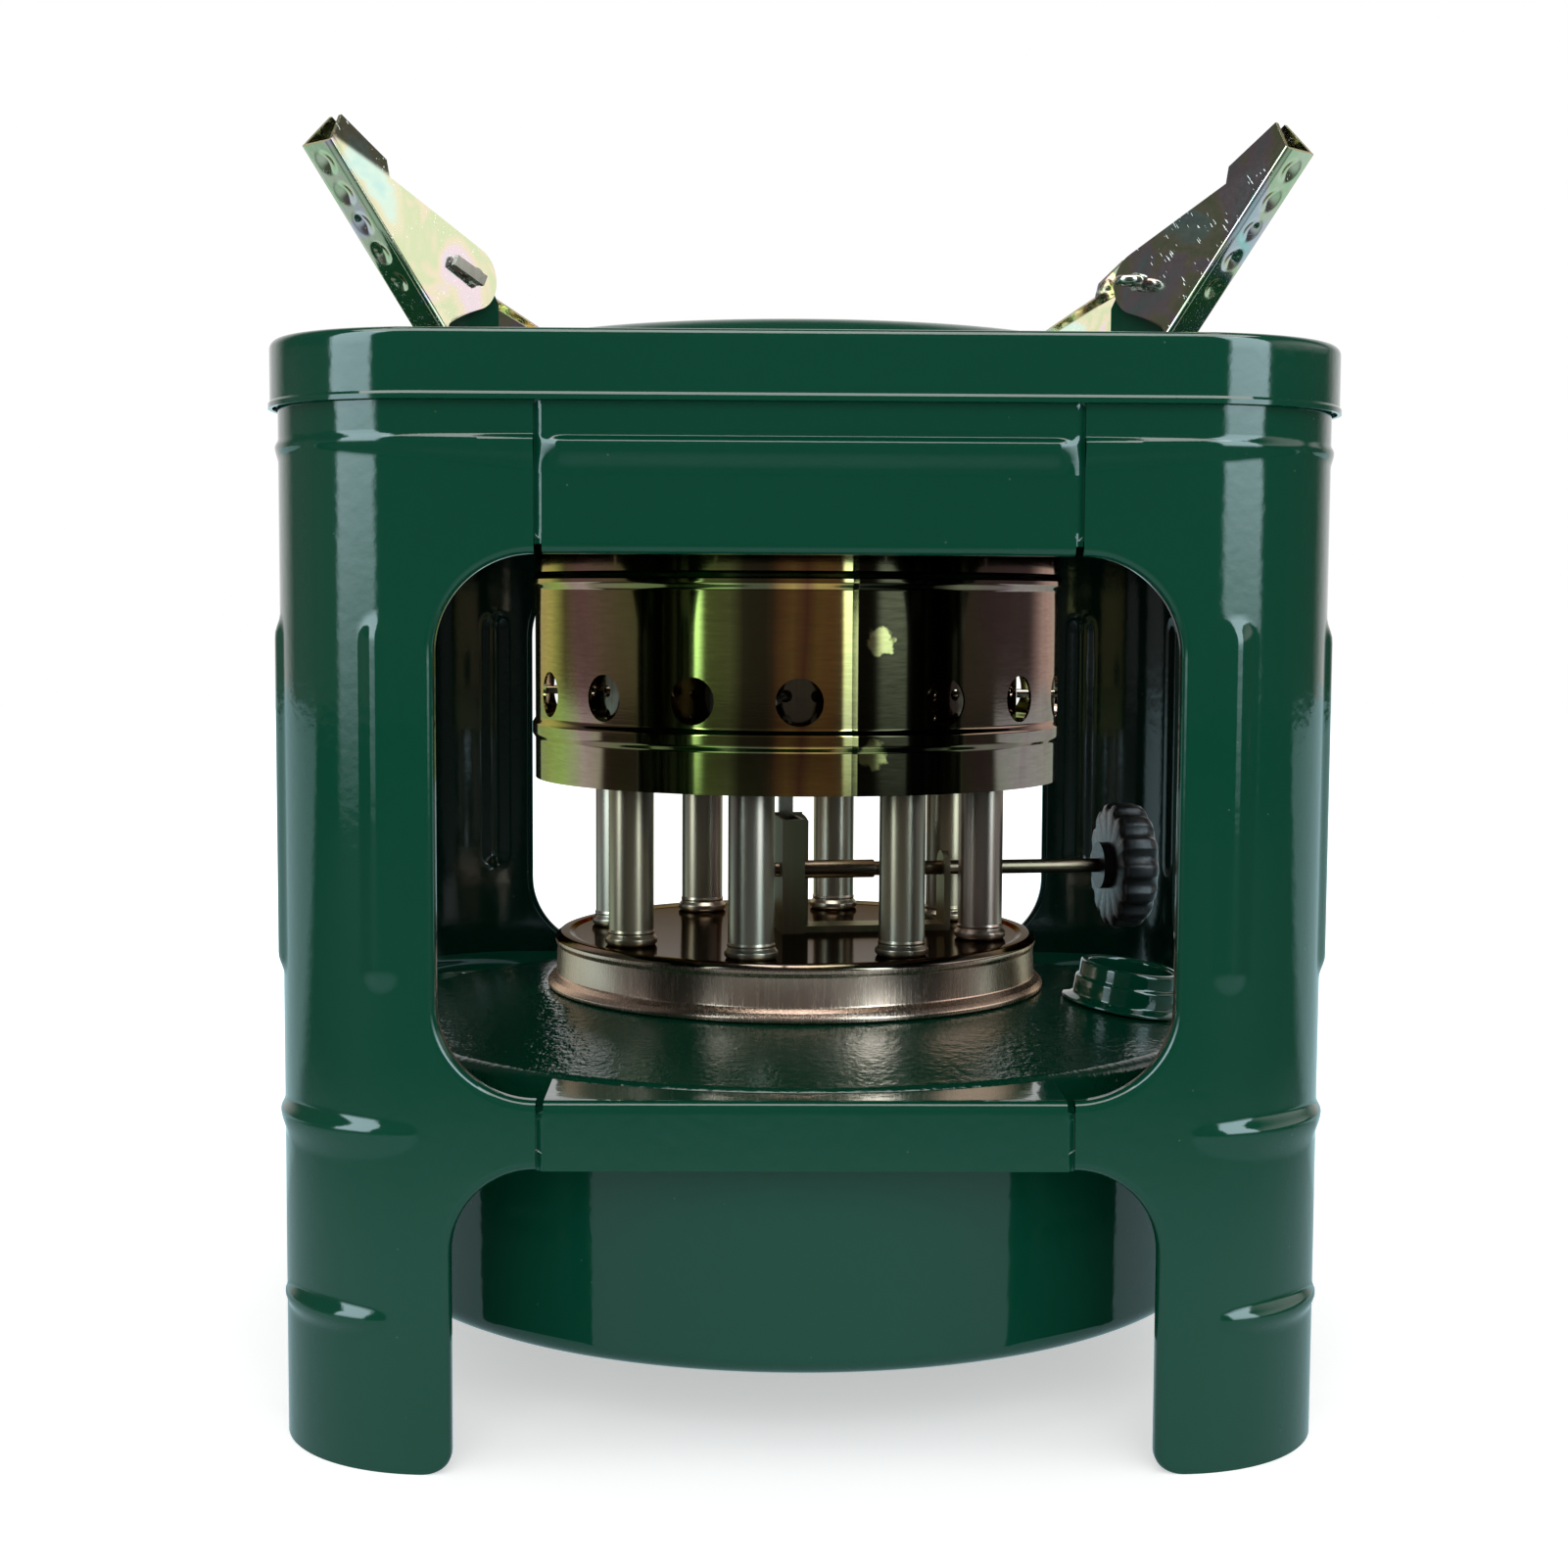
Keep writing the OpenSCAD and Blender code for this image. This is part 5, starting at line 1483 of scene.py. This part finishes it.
@dataclass
class Burner:
    """Plated burner: base, wick tubes, gallery, shaft with its guide post, and wicks."""

    finishes: Finishes
    turn: float = 8.6
    base_r: float = 55.3
    base_z: float = 78.6
    plate_z: float = 90.5
    side_from: float = 0.9
    circle: float = 43.2
    tubes: int = 8
    tube_r: float = 5.0
    tube_wall: float = 0.6
    tube_top: float = 133.0
    wick_r: float = 4.1
    wick_low: float = 22.8
    wick_top: float = 132.5
    gallery_in: float = 34.2
    gallery_out: float = 52.2
    gallery_sheet: float = 0.8
    gallery_top: float = 130.5
    shaft_z: float = 104.8
    shaft_r: float = 1.65
    sleeve_r: float = 2.1
    knob_reach: float = 75.0
    knob_r: float = 14.7
    flutes: int = 14
    flute_depth: float = 1.15
    flute_wide: float = 0.31

    def build(self) -> None:
        """Makes the burner's pieces."""
        looks = self.finishes
        base = settle(self.base(), Body.FRAME, Slot.ZINC, looks.base, "burner_base")
        # Lit and shaded copies of one plate: the sideways faces below the top take the paler plate, the rest
        # the darker one.
        base.data.materials.append(looks.side)
        for face in base.data.polygons:
            if abs(face.normal.z) < 0.8 and face.center.z < (self.plate_z - self.side_from) * MM:
                face.material_index = 1
        tube = self.tube()
        wick = self.wick()
        for i in range(self.tubes):
            for first, stem, node, body, slot, finish in (
                (tube, "wick_tube_drawn", "wick_tube", Body.FRAME, Slot.STEEL, looks.tubes),
                (wick, "braided_wick", "wick", Body.RAISER, Slot.COTTON, looks.cotton),
            ):
                piece = copy_of(first, f"{stem}_{i + 1}", self.tube_spot(i, 0))
                settle(piece, body, slot, finish, f"{node}_{i + 1}")
        for first in (tube, wick):
            bpy.data.objects.remove(first)
        # The gallery takes the darker plate, painted shade under the drum.
        settle(self.gallery(), Body.FRAME, Slot.ZINC, looks.base, "wick_gallery")
        settle(self.shaft(), Body.CONTROL, Slot.ZINC, looks.shaft, "control_shaft")
        settle(self.knob(), Body.CONTROL, Slot.PLASTIC, looks.plastic, "knob")
        for node, finish, bevel in (
            ("guide_post", looks.post, 0.3),
            ("shaft_bracket", looks.post, 0.15),
            ("wick_carrier", looks.steel, 0.0),
            ("wick_rack", looks.steel, 0.08),
            ("pinion", looks.steel, 0.05),
        ):
            dress_node(node, finish, bevel)

    def tube_spot(self, number: int, z: float) -> Matrix:
        """Where a wick tube stands, at a height."""
        return turned("Z", self.turn + 360 / self.tubes * (number + 0.5)) @ moved(self.circle, 0, z)

    def base(self) -> Object:
        """Makes the inverted cup with its rolled foot and lipped edge."""
        r, low, top = self.base_r, self.base_z, self.plate_z
        profile = [
            (0, top),
            (r - 4.2, top),
            (r - 3.0, top + 0.5),
            (r - 1.0, top + 0.5),
            (r + 0.15, top - 0.5),
            (r + 0.15, top - 1.6),
            (r - 0.3, top - 2.3),
            (r - 0.1, low + 3.2),
            (r + 1.2, low + 2.2),
            (r + 2.0, low + 1.2),
            (r + 1.9, low + 0.3),
            (r + 1.2, low),
            (r - 0.8, low),
            (r - 0.8, top - 1.6),
            (r - 1.6, top - 0.8),
            (0, top - 0.8),
        ]
        base = lathe("burner_base_pressing", rounded(profile, 0.7, 4), 288, sharp=60)
        slot = rod(3.2, 4, turned("Z", self.turn) @ moved(-1.4, 5.4, top - 2), 24)
        return carve(base, [slot], 60)

    def tube(self) -> Object:
        """Makes one wick tube with the collar at its foot."""
        r, low, top = self.tube_r, self.plate_z, self.tube_top
        inner = r - self.tube_wall
        profile = [
            (inner, low - 2),
            (inner, top),
            (r, top),
            (r, low + 3.4),
            (r + 0.25, low + 2.9),
            (r + 0.05, low + 2.4),
            (r + 0.8, low + 1.5),
            (r + 0.8, low + 0.6),
            (r + 0.3, low + 0.05),
            (r, low + 0.05),
            (r, low - 2),
        ]
        return lathe("tube", rounded(profile, 0.3, 4), 72, sharp=50)

    def wick(self) -> Object:
        """Makes one wick with a soft top."""
        r, low, top = self.wick_r, self.wick_low, self.wick_top
        profile = [(0, low), (r, low), (r, top - 1.0), (r - 0.5, top - 0.2), (0, top)]
        return lathe("wick", rounded(profile, 0.5, 3), 40, sharp=60)

    def gallery(self) -> Object:
        """Makes the ring that ties the tops of the tubes."""
        top = self.gallery_top
        low = top - self.gallery_sheet
        near, far = self.gallery_in, self.gallery_out
        profile = [(near, low), (far, low), (far, top), (near, top)]
        ring = lathe("wick_gallery_ring", rounded(profile, 0.3, 3))
        spots = [self.tube_spot(i, top - 3) for i in range(self.tubes)]
        return carve(ring, [rod(self.tube_r + 0.05, 6, spot) for spot in spots])

    def along_shaft(self, x: float) -> Matrix:
        """A place on the shaft's line, with Z along the shaft."""
        return turned("Z", self.turn) @ moved(x, 0, self.shaft_z) @ turned("Y", 90)

    def shaft(self) -> Object:
        """Makes the shaft with its sleeve."""
        r, sleeve = self.shaft_r, self.sleeve_r
        profile = [(0, -5), (r, -5), (r, 1.5), (sleeve, 1.5), (sleeve, 18.5), (r, 18.5), (r, 80), (0, 80)]
        return place(lathe("control_shaft_turned", rounded(profile, 0.25, 3), 48), self.along_shaft(0))

    def knob(self) -> Object:
        """Makes the fluted knob."""
        r = self.knob_r
        profile = [(0.0, -2.2), (5.5, -2.2), (5.5, 0.0)]
        profile += [(r - 1.4, 0.0), (r - 0.35, 0.5), (r, 1.4), (r, 6.2), (r - 0.35, 7.3), (r - 1.2, 8.1)]
        profile += [(r * 0.90 * math.cos(a), 8.1 + 1.9 * math.sin(a)) for a in (0.2, 0.5, 0.8, 1.1, 1.35)]
        profile += [(0.0, 10.0)]
        count = self.flutes * 20
        rings = []
        for radius, z in profile:
            depth = self.flute_depth * min(1.0, max(0.0, (radius - 9.5) / 4.0)) if z >= 0 else 0.0
            for i in range(count):
                a = 2 * math.pi * i / count
                off = abs((a * self.flutes / (2 * math.pi) + 0.5) % 1 - 0.5)
                dip = max(0.0, 1 - (off / self.flute_wide) ** 2)
                reach = radius - depth * dip
                rings.append((reach * math.cos(a), reach * math.sin(a), z))
        knob = mesh_object("fluted_knob", np.array(rings), grid_faces(len(profile), count, True), 50)
        return place(knob, self.along_shaft(self.knob_reach))


# Chimney


@dataclass
class Chimney:
    """Lift-off chimney: drum with beads and air holes, and two perforated tubes."""

    finishes: Finishes
    radius: float = 60.2
    sheet: float = 0.6
    low: float = 126.7
    top: float = 219.0
    holes: int = 16
    hole_r: float = 5.0
    hole_z: float = 146.1
    hole_first: float = 30.0
    hole_step: float = 21.96
    seam: float = 10.9
    stations: int = 360
    beads: tuple[Point2, ...] = ((9.0, 4.6), (42.7, 3.4))
    bead_rise: float = 0.68
    bead_run: float = 1.1
    lap: float = 0.30
    lap_flat: int = 40
    lap_end: int = 70
    dip: float = 0.85
    dip_run: int = 8
    tube_low: float = 130.8
    tube_top: float = 205.0
    tube_wall: float = 0.5
    tube_band: float = 3.2
    punch_r: float = 1.35
    punch_rows: int = 13
    punches: int = 48
    punch_sides: int = 16

    def build(self) -> None:
        """Makes the chimney's pieces."""
        settle(self.drum(), Body.CHIMNEY, Slot.ZINC, self.finishes.drum, "chimney_drum")
        for label, radius in (("outer", 50.5), ("inner", 36.4)):
            tube = self.flame_tube(f"perforated_tube_{label}", radius)
            # The flame tubes take the darker plate, painted shade inside the drum.
            settle(tube, Body.CHIMNEY, Slot.ZINC, self.finishes.base, f"flame_tube_{label}")
        dress_node("spacer_pins", self.finishes.steel, 0.0)

    def swell(self, z: float) -> float:
        """Rise of the two rolled beads at a height."""
        for start, width in self.beads:
            low = self.low + start
            if low <= z <= low + width:
                side = min(z - low, low + width - z) / self.bead_run
                return self.bead_rise * min(1.0, side)
        return 0.0

    def seam_rise(self, i: int) -> float:
        """Rise of the lap after the seam, or the dip just before it, at a station."""
        lap = self.lap * min(1.0, max(0.0, 1 - (i - self.lap_flat) / (self.lap_end - self.lap_flat)))
        dip = max(0.0, i - (self.stations - self.dip_run)) / self.dip_run
        return lap - self.dip * dip * dip

    def drum(self) -> Object:
        """Makes the drum with its lapped seam and air holes."""
        low = self.low
        heights = spread(low, low + 8, 1.0) + spread(low + 8, low + 15, 0.25)
        heights += spread(low + 15, low + 42, 1.5) + spread(low + 42, low + 47, 0.25)
        heights += spread(low + 47, self.top, 3.0) + [self.top]
        start = math.radians(self.seam - 90)
        angles = [start + 2 * math.pi * i / self.stations for i in range(self.stations)]
        rows = []
        for z in heights:
            reach = self.radius - self.lap + self.swell(z)
            radii = [reach + self.seam_rise(i) for i in range(self.stations)]
            rows.append([(r * math.cos(a), r * math.sin(a), z) for r, a in zip(radii, angles)])
        normals = [[(math.cos(a), math.sin(a), 0.0) for a in angles]] * len(heights)
        drum = skin("drum_rolled", np.array(rows), np.array(normals), self.sheet, wrap=True)
        cutters = []
        for i in range(self.holes):
            azimuth = self.hole_first + self.hole_step * i - 90
            spot = turned("Z", azimuth) @ moved(self.radius - 4, 0, self.hole_z) @ turned("Y", 90)
            cutters.append(rod(self.hole_r, 8, spot, 56))
        carve(drum, cutters)
        soften(drum, 0.22, 60)
        return drum

    def flame_tube(self, name: str, radius: float) -> Object:
        """Makes a perforated tube, with its holes in the grid itself.

        Args:
            name: Name of the piece.
            radius: Outer radius.

        Returns:
            The tube.
        """
        low, high, band = self.tube_low, self.tube_top, self.tube_band
        inner = radius - self.tube_wall
        cell = (high - low - 2 * band) / self.punch_rows
        width = 2 * math.pi * radius / self.punches
        sides = self.punch_sides
        verts: list[Point3] = []
        faces: Faces = []

        def point(u: float, z: float, r: float) -> int:
            """Adds a point at a distance round the tube."""
            verts.append((r * math.cos(u / radius), r * math.sin(u / radius), z))
            return len(verts) - 1

        def ring(u: float, z: float, r: float) -> tuple[list[int], list[int]]:
            """Adds the outline of a cell and of its hole."""
            outline, hole = [], []
            for k in range(sides):
                a = 2 * math.pi * k / sides
                c, s = math.cos(a), math.sin(a)
                m = max(abs(c), abs(s))
                outline.append(point(u + width / 2 * c / m, z + cell / 2 * s / m, r))
                hole.append(point(u + self.punch_r * c, z + self.punch_r * s, r))
            return outline, hole

        for level in range(self.punch_rows):
            z = low + band + cell * (level + 0.5)
            for i in range(self.punches):
                u = width * (i + 0.5)
                out_ring, out_hole = ring(u, z, radius)
                in_ring, in_hole = ring(u, z, inner)
                for k in range(sides):
                    n = (k + 1) % sides
                    faces.append((out_ring[k], out_ring[n], out_hole[n], out_hole[k]))
                    faces.append((in_ring[n], in_ring[k], in_hole[k], in_hole[n]))
                    faces.append((out_hole[k], out_hole[n], in_hole[n], in_hole[k]))
        for z0, z1 in ((low, low + band), (high - band, high)):
            for i in range(self.punches * 4):
                u0, u1 = width * i / 4, width * (i + 1) / 4
                corners = ((u0, z0), (u1, z0), (u1, z1), (u0, z1))
                out_q = [point(u, z, radius) for u, z in corners]
                in_q = [point(u, z, inner) for u, z in corners]
                faces += [tuple(out_q), tuple(in_q[::-1])]
                if z0 == low:
                    faces.append((out_q[1], out_q[0], in_q[0], in_q[1]))
                else:
                    faces.append((out_q[3], out_q[2], in_q[2], in_q[3]))
        return mesh_object(name, np.array(verts), faces)


# Pot supports


@dataclass
class PotSupports:
    """Four folding supports, each bent from one blank, with their split pins."""

    finishes: Finishes
    length: float = 42.3
    width: float = 9.2
    sheet: float = 0.9
    bend: float = 1.0
    lean: float = 6.0
    pivot: Point2 = (3.6, 13.8)
    round_end: float = 6.3
    shoulder: Point2 = (6.25, 19.53)
    notch: Point2 = (29.61, 8.4)
    tab: Point2 = (32.15, 11.0)
    tip: Point2 = (44.0, 7.9)
    heel: tuple[tuple[Point2, float], ...] = (
        ((-1.6, 9.9), 1.3),
        ((-0.9, 8.2), 0.9),
        ((0.1, 5.4), 0.45),
        ((0.7, 3.4), 0.15),
        ((0.4, 2.4), 0.0),
    )
    crease_in: float = 1.6
    crease: float = 17.0
    crease_round: float = 0.35
    slope: float = 51.0
    place: Point2 = (96.31, 230.5)
    dimple_r: float = 2.5
    dimple_depth: float = 0.65
    dimples: tuple[float, ...] = (38.2, 31.6, 25.0, 18.4, 11.8)

    def build(self) -> None:
        """Makes the supports and dresses the pins."""
        first = self.pressing()
        for i, corner in enumerate(CORNERS):
            piece = copy_of(first, f"support_pressing_{corner}", turned("Z", 90.0 * i)) if i else first
            soften(piece, 0.14, 50)
            settle(piece, f"support_{corner}", Slot.ZINC, self.finishes.support, f"support_{corner}")
            dress_node(f"pin_{corner}", self.finishes.steel, 0.1)

    def boundary(self) -> list[tuple[Point2, float]]:
        """Free edge of a cheek, as points with the place on the spine that each row starts from."""
        out: list[tuple[Point2, float]] = []
        for start, end, low, high, steps in (
            (self.tip, self.tab, self.length, 33.6, 10),
            (self.tab, self.notch, 33.6, 30.6, 4),
            (self.notch, self.shoulder, 30.6, 10.5, 22),
        ):
            for k in range(steps):
                t = k / steps
                spot = (start[0] + (end[0] - start[0]) * t, start[1] + (end[1] - start[1]) * t)
                out.append((spot, low + (high - low) * t))
        first, last = math.radians(65.0), math.radians(200.0)
        along, reach = self.pivot
        for k in range(19):
            a = first + (last - first) * k / 18
            spot = (along + self.round_end * math.cos(a), reach + self.round_end * math.sin(a))
            out.append((spot, 10.5 - 8.7 * k / 18))
        return out + list(self.heel)

    def border(self) -> list[tuple[Point2, float]]:
        """The free edge with one more point wherever two rows would start far apart."""
        out: list[tuple[Point2, float]] = []
        edge = self.boundary()
        for (a, base_a), (b, base_b) in zip(edge, edge[1:]):
            out.append((a, base_a))
            if abs(base_a - base_b) > 0.6:
                out.append((((a[0] + b[0]) / 2, (a[1] + b[1]) / 2), (base_a + base_b) / 2))
        return out + [edge[-1]]

    def folded(self, along: float, reach: float) -> Point3:
        """Bends a point of the flat cheek at the tab's crease.

        Args:
            along: Distance along the spine.
            reach: Distance from the spine up the cheek.

        Returns:
            The bent point, and how far it has moved inward.
        """
        run, rise = self.length - self.notch[0], self.crease_in - self.notch[1]
        size = math.hypot(run, rise)
        past = ((reach - self.notch[1]) * run - (along - self.notch[0]) * rise) / size
        past = (past + math.hypot(past, self.crease_round)) / 2
        turn = math.radians(self.crease)
        back = past * (1 - math.cos(turn))
        return along + back * rise / size, reach - back * run / size, past * math.sin(turn)

    def sunk(self, along: float, across: float) -> float:
        """Depth of the dimples pressed into the spine."""
        depth = 0.0
        for at in self.dimples:
            off = math.hypot(along - at, across) / self.dimple_r
            depth = max(depth, self.dimple_depth * (1 - min(1.0, off) ** 2) ** 1.5)
        return depth

    def half_row(self, top: Point2, base: float) -> list[tuple[Point3, Point3]]:
        """Points and normals down one cheek and round its bend.

        Args:
            top: Point of the free edge.
            base: Place on the spine.

        Returns:
            The points, each with its normal.
        """
        lean = math.radians(self.lean)
        c, s = math.cos(lean), math.sin(lean)
        edge, steps = self.width / 2 - self.bend, 16
        out: list[tuple[Point3, Point3]] = []
        for k in range(steps):
            t = 1 - k / steps
            flat = (base + (top[0] - base) * t, self.bend + (top[1] - self.bend) * t)
            along, reach, inward = self.folded(*flat)
            spot = (along, self.width / 2 - reach * s - inward * c, reach * c - inward * s)
            out.append((spot, (0.0, c, s)))
        for k in range(7):
            a = lean * (1 - k / 6) - math.pi / 2 * k / 6
            spot = (base, edge + self.bend * math.cos(a), self.bend + self.bend * math.sin(a))
            out.append((spot, (0.0, math.cos(a), math.sin(a))))
        return out

    def pressing(self) -> Object:
        """Makes the front right support."""
        edge = self.width / 2 - self.bend
        rows, normals = [], []
        for top, base in self.border():
            half = self.half_row(top, base)
            flat = [edge * (1 - k / 9) for k in range(1, 10)]
            middle = [((base, y, self.sunk(base, y)), (0.0, 0.0, -1.0)) for y in flat]
            other = [((x, -y, z), (nx, -ny, nz)) for (x, y, z), (nx, ny, nz) in (half + middle[:-1])[::-1]]
            row = half + middle + other
            rows.append([spot for spot, _ in row])
            normals.append([normal for _, normal in row])
        piece = skin("support_pressing_front_right", np.array(rows), np.array(normals), self.sheet)
        spine = turned("Y", -self.slope) @ moved(-self.pivot[0], 0, -self.pivot[1])
        return place(piece, turned("Z", -45.0) @ moved(self.place[0], 0, self.place[1]) @ spine)


# Studio


@dataclass
class Studio:
    """Pale floor, soft light and the camera."""

    eye: Point3 = (-11.7, -544.0, 167.1)
    pitch: float = 4.46
    yaw: float = 0.94
    roll: float = 0.3
    focal: float = 54.12
    box_distance: float = 1500.0
    box_height: float = 1200.0
    box_tall: float = 2600.0
    box_color: RGB = (0.70, 0.91, 1.0)
    side_fade: float = 0.14
    end_fade: float = 0.235
    surround: float = 0.55
    floor_size: float = 6000.0
    floor_steps: int = 8
    floor_z: float = -0.02

    def build(self) -> None:
        """Makes the studio."""
        self.camera()
        self.world()
        self.floor()
        self.softbox("softbox_left", -55.5, 860.0, 57.0)
        self.softbox("softbox_right", 46.0, 820.0, 58.0)
        self.panel("overhead_sheen", (0.0, -0.30, 1.25), (1.5, 0.7), 18.0, True)
        self.panel("overhead_fill", (0.0, 0.10, 1.80), (1.4, 1.4), 9.0, False)
        self.panel("front_fill", (0.0, -1.60, 0.90), (1.6, 1.2), 12.0, False, 62.0)

    def camera(self) -> None:
        """Makes the camera at the photograph's place."""
        data = bpy.data.cameras.new("view")
        data.lens = self.focal
        data.sensor_width = 36.0
        data.sensor_fit = "AUTO"
        data.clip_start = 0.02
        data.clip_end = 20.0
        camera = new_object("view", data)
        aim = turned("Z", -self.yaw) @ turned("X", 90 - self.pitch) @ turned("Z", self.roll)
        camera.matrix_world = Matrix.Translation(Vector(self.eye) * MM) @ aim
        bpy.context.scene.camera = camera

    def lamp(self, name: str, size: Point2, power: float) -> Object:
        """Adds a rectangular light, in metres and watts, that the camera doesn't see."""
        light = bpy.data.lights.new(name, "AREA")
        light.shape = "RECTANGLE"
        light.size, light.size_y = size
        light.energy = power
        lamp = new_object(name, light)
        lamp.visible_camera = False
        return lamp

    def softbox(self, name: str, azimuth: float, width: float, power: float) -> None:
        """Adds an upright soft light whose edges fade, for the gloss alone.

        Args:
            name: Name of the light.
            azimuth: Direction from the front toward the right, in degrees.
            width: Its width.
            power: Power in watts.
        """
        lamp = self.lamp(name, (width * MM, self.box_tall * MM), power)
        lamp.visible_diffuse = False
        lamp.data.use_nodes = True
        w = Wires(lamp.data.node_tree)
        glow = w.find("EMISSION")
        parts = w.split(w.add("ShaderNodeNewGeometry").outputs["Parametric"])
        shares = []
        for axis, fade in (("X", self.side_fade), ("Y", self.end_fade)):
            off = w.math("ABSOLUTE", w.math("SUBTRACT", parts[axis], 0.5))
            shares.append(w.ease(w.math("SUBTRACT", 0.5, off), (0.0, fade)))
        w.join(w.math("MULTIPLY", *shares), glow.inputs["Strength"])
        glow.inputs["Color"].default_value = (*self.box_color, 1.0)
        a = math.radians(azimuth)
        reach = self.box_distance
        spot = Vector((math.sin(a) * reach, -math.cos(a) * reach, self.box_height)) * MM
        lamp.matrix_world = Matrix.Translation(spot) @ turned("Z", azimuth) @ turned("X", 90)

    def panel(
        self, name: str, spot: Point3, size: Point2, power: float, gloss: bool, tilt: float = 0.0
    ) -> None:
        """Adds a wide soft light from above or in front.

        Args:
            name: Name of the light.
            spot: Its place, in metres.
            size: Its width and depth, in metres.
            power: Power in watts.
            gloss: True where only gloss shows it, False where only matt colour takes it.
            tilt: Turn up from facing straight down, in degrees.
        """
        lamp = self.lamp(name, size, power)
        lamp.visible_glossy = gloss
        lamp.visible_diffuse = not gloss
        lamp.matrix_world = Matrix.Translation(spot) @ turned("X", tilt)

    def world(self) -> None:
        """Makes a white surround that metal shows too, dimmer in front of the stove."""
        scene = bpy.context.scene
        scene.world = bpy.data.worlds.new("studio")
        scene.world.use_nodes = True
        w = Wires(scene.world.node_tree)
        back = w.find("BACKGROUND")
        path = w.add("ShaderNodeLightPath").outputs
        way = w.split(w.spot("Generated"))
        behind = w.ease(way["Y"], (0.45, 0.8), (0.09, 1.0))
        right = w.ease(way["X"], (0.72, 0.95))
        above = w.ease(way["Z"], (0.09, 0.20), (0.05, 1.3))
        left = w.ease(way["X"], (-0.95, -0.66), (0.20, 0.0))
        below = w.ease(way["Z"], (0.08, 0.15), (1.0, 0.12))
        sides = w.math("MAXIMUM", w.math("MULTIPLY", left, below), w.math("MULTIPLY", right, above))
        shiny = w.math("MAXIMUM", path["Is Glossy Ray"], path["Is Transmission Ray"])
        seen = w.math("MULTIPLY", shiny, w.math("MAXIMUM", behind, sides))
        shown = w.math("MAXIMUM", path["Is Camera Ray"], seen)
        plain = w.math("SUBTRACT", 1.0, w.math("MAXIMUM", path["Is Camera Ray"], shiny))
        w.join(w.math("ADD", shown, w.math("MULTIPLY", plain, self.surround)), back.inputs["Strength"])
        back.inputs["Color"].default_value = (1, 1, 1, 1)
        scene.view_settings.view_transform = "Standard"

    def floor(self) -> None:
        """Makes the pale floor."""
        count = self.floor_steps + 1
        axis = np.linspace(-self.floor_size / 2, self.floor_size / 2, count)
        verts = [(x * MM, y * MM, self.floor_z * MM) for y in axis for x in axis]
        mesh = bpy.data.meshes.new("studio_floor")
        mesh.from_pydata(verts, [], grid_faces(count, count, False))
        floor = new_object("studio_floor", mesh)
        material, w, shader = Finish().start("pale_floor")
        shader.inputs["Roughness"].default_value = 0.9
        path = w.add("ShaderNodeLightPath").outputs
        gloss = path["Is Glossy Ray"]
        w.join(w.mix(gloss, (0.80, 0.80, 0.80), (0.03, 0.03, 0.03)), shader.inputs["Base Color"])
        spot = w.spot()
        reach = w.vector("LENGTH", spot).outputs["Value"]
        far = w.ease(reach, (0.12, 0.34), (0.48, 0.90))
        near = w.ease(reach, (0.22, 0.55), (0.60, 0.0))
        rear = w.ease(w.split(spot)["Y"], (0.0, 0.14), (0.0, 0.95))
        lit = w.math("MULTIPLY", path["Is Camera Ray"], far)
        low = w.math("MULTIPLY", gloss, w.math("MAXIMUM", near, rear))
        w.join(w.math("ADD", lit, low), shader.inputs["Emission Strength"])
        w.join(w.mix(gloss, (1.0, 1.0, 1.0), (0.62, 0.92, 1.0)), shader.inputs["Emission Color"])
        mesh.materials.append(material)


def main() -> None:
    """Builds the stove's pieces in order, then the studio."""
    logging.basicConfig(level=logging.INFO, format="%(name)s: %(message)s")
    finishes = Finishes()
    SheetFrame(finishes).build()
    Tank(finishes).build()
    Burner(finishes).build()
    Chimney(finishes).build()
    PotSupports(finishes).build()
    Studio().build()


if __name__ == "__main__":
    main()
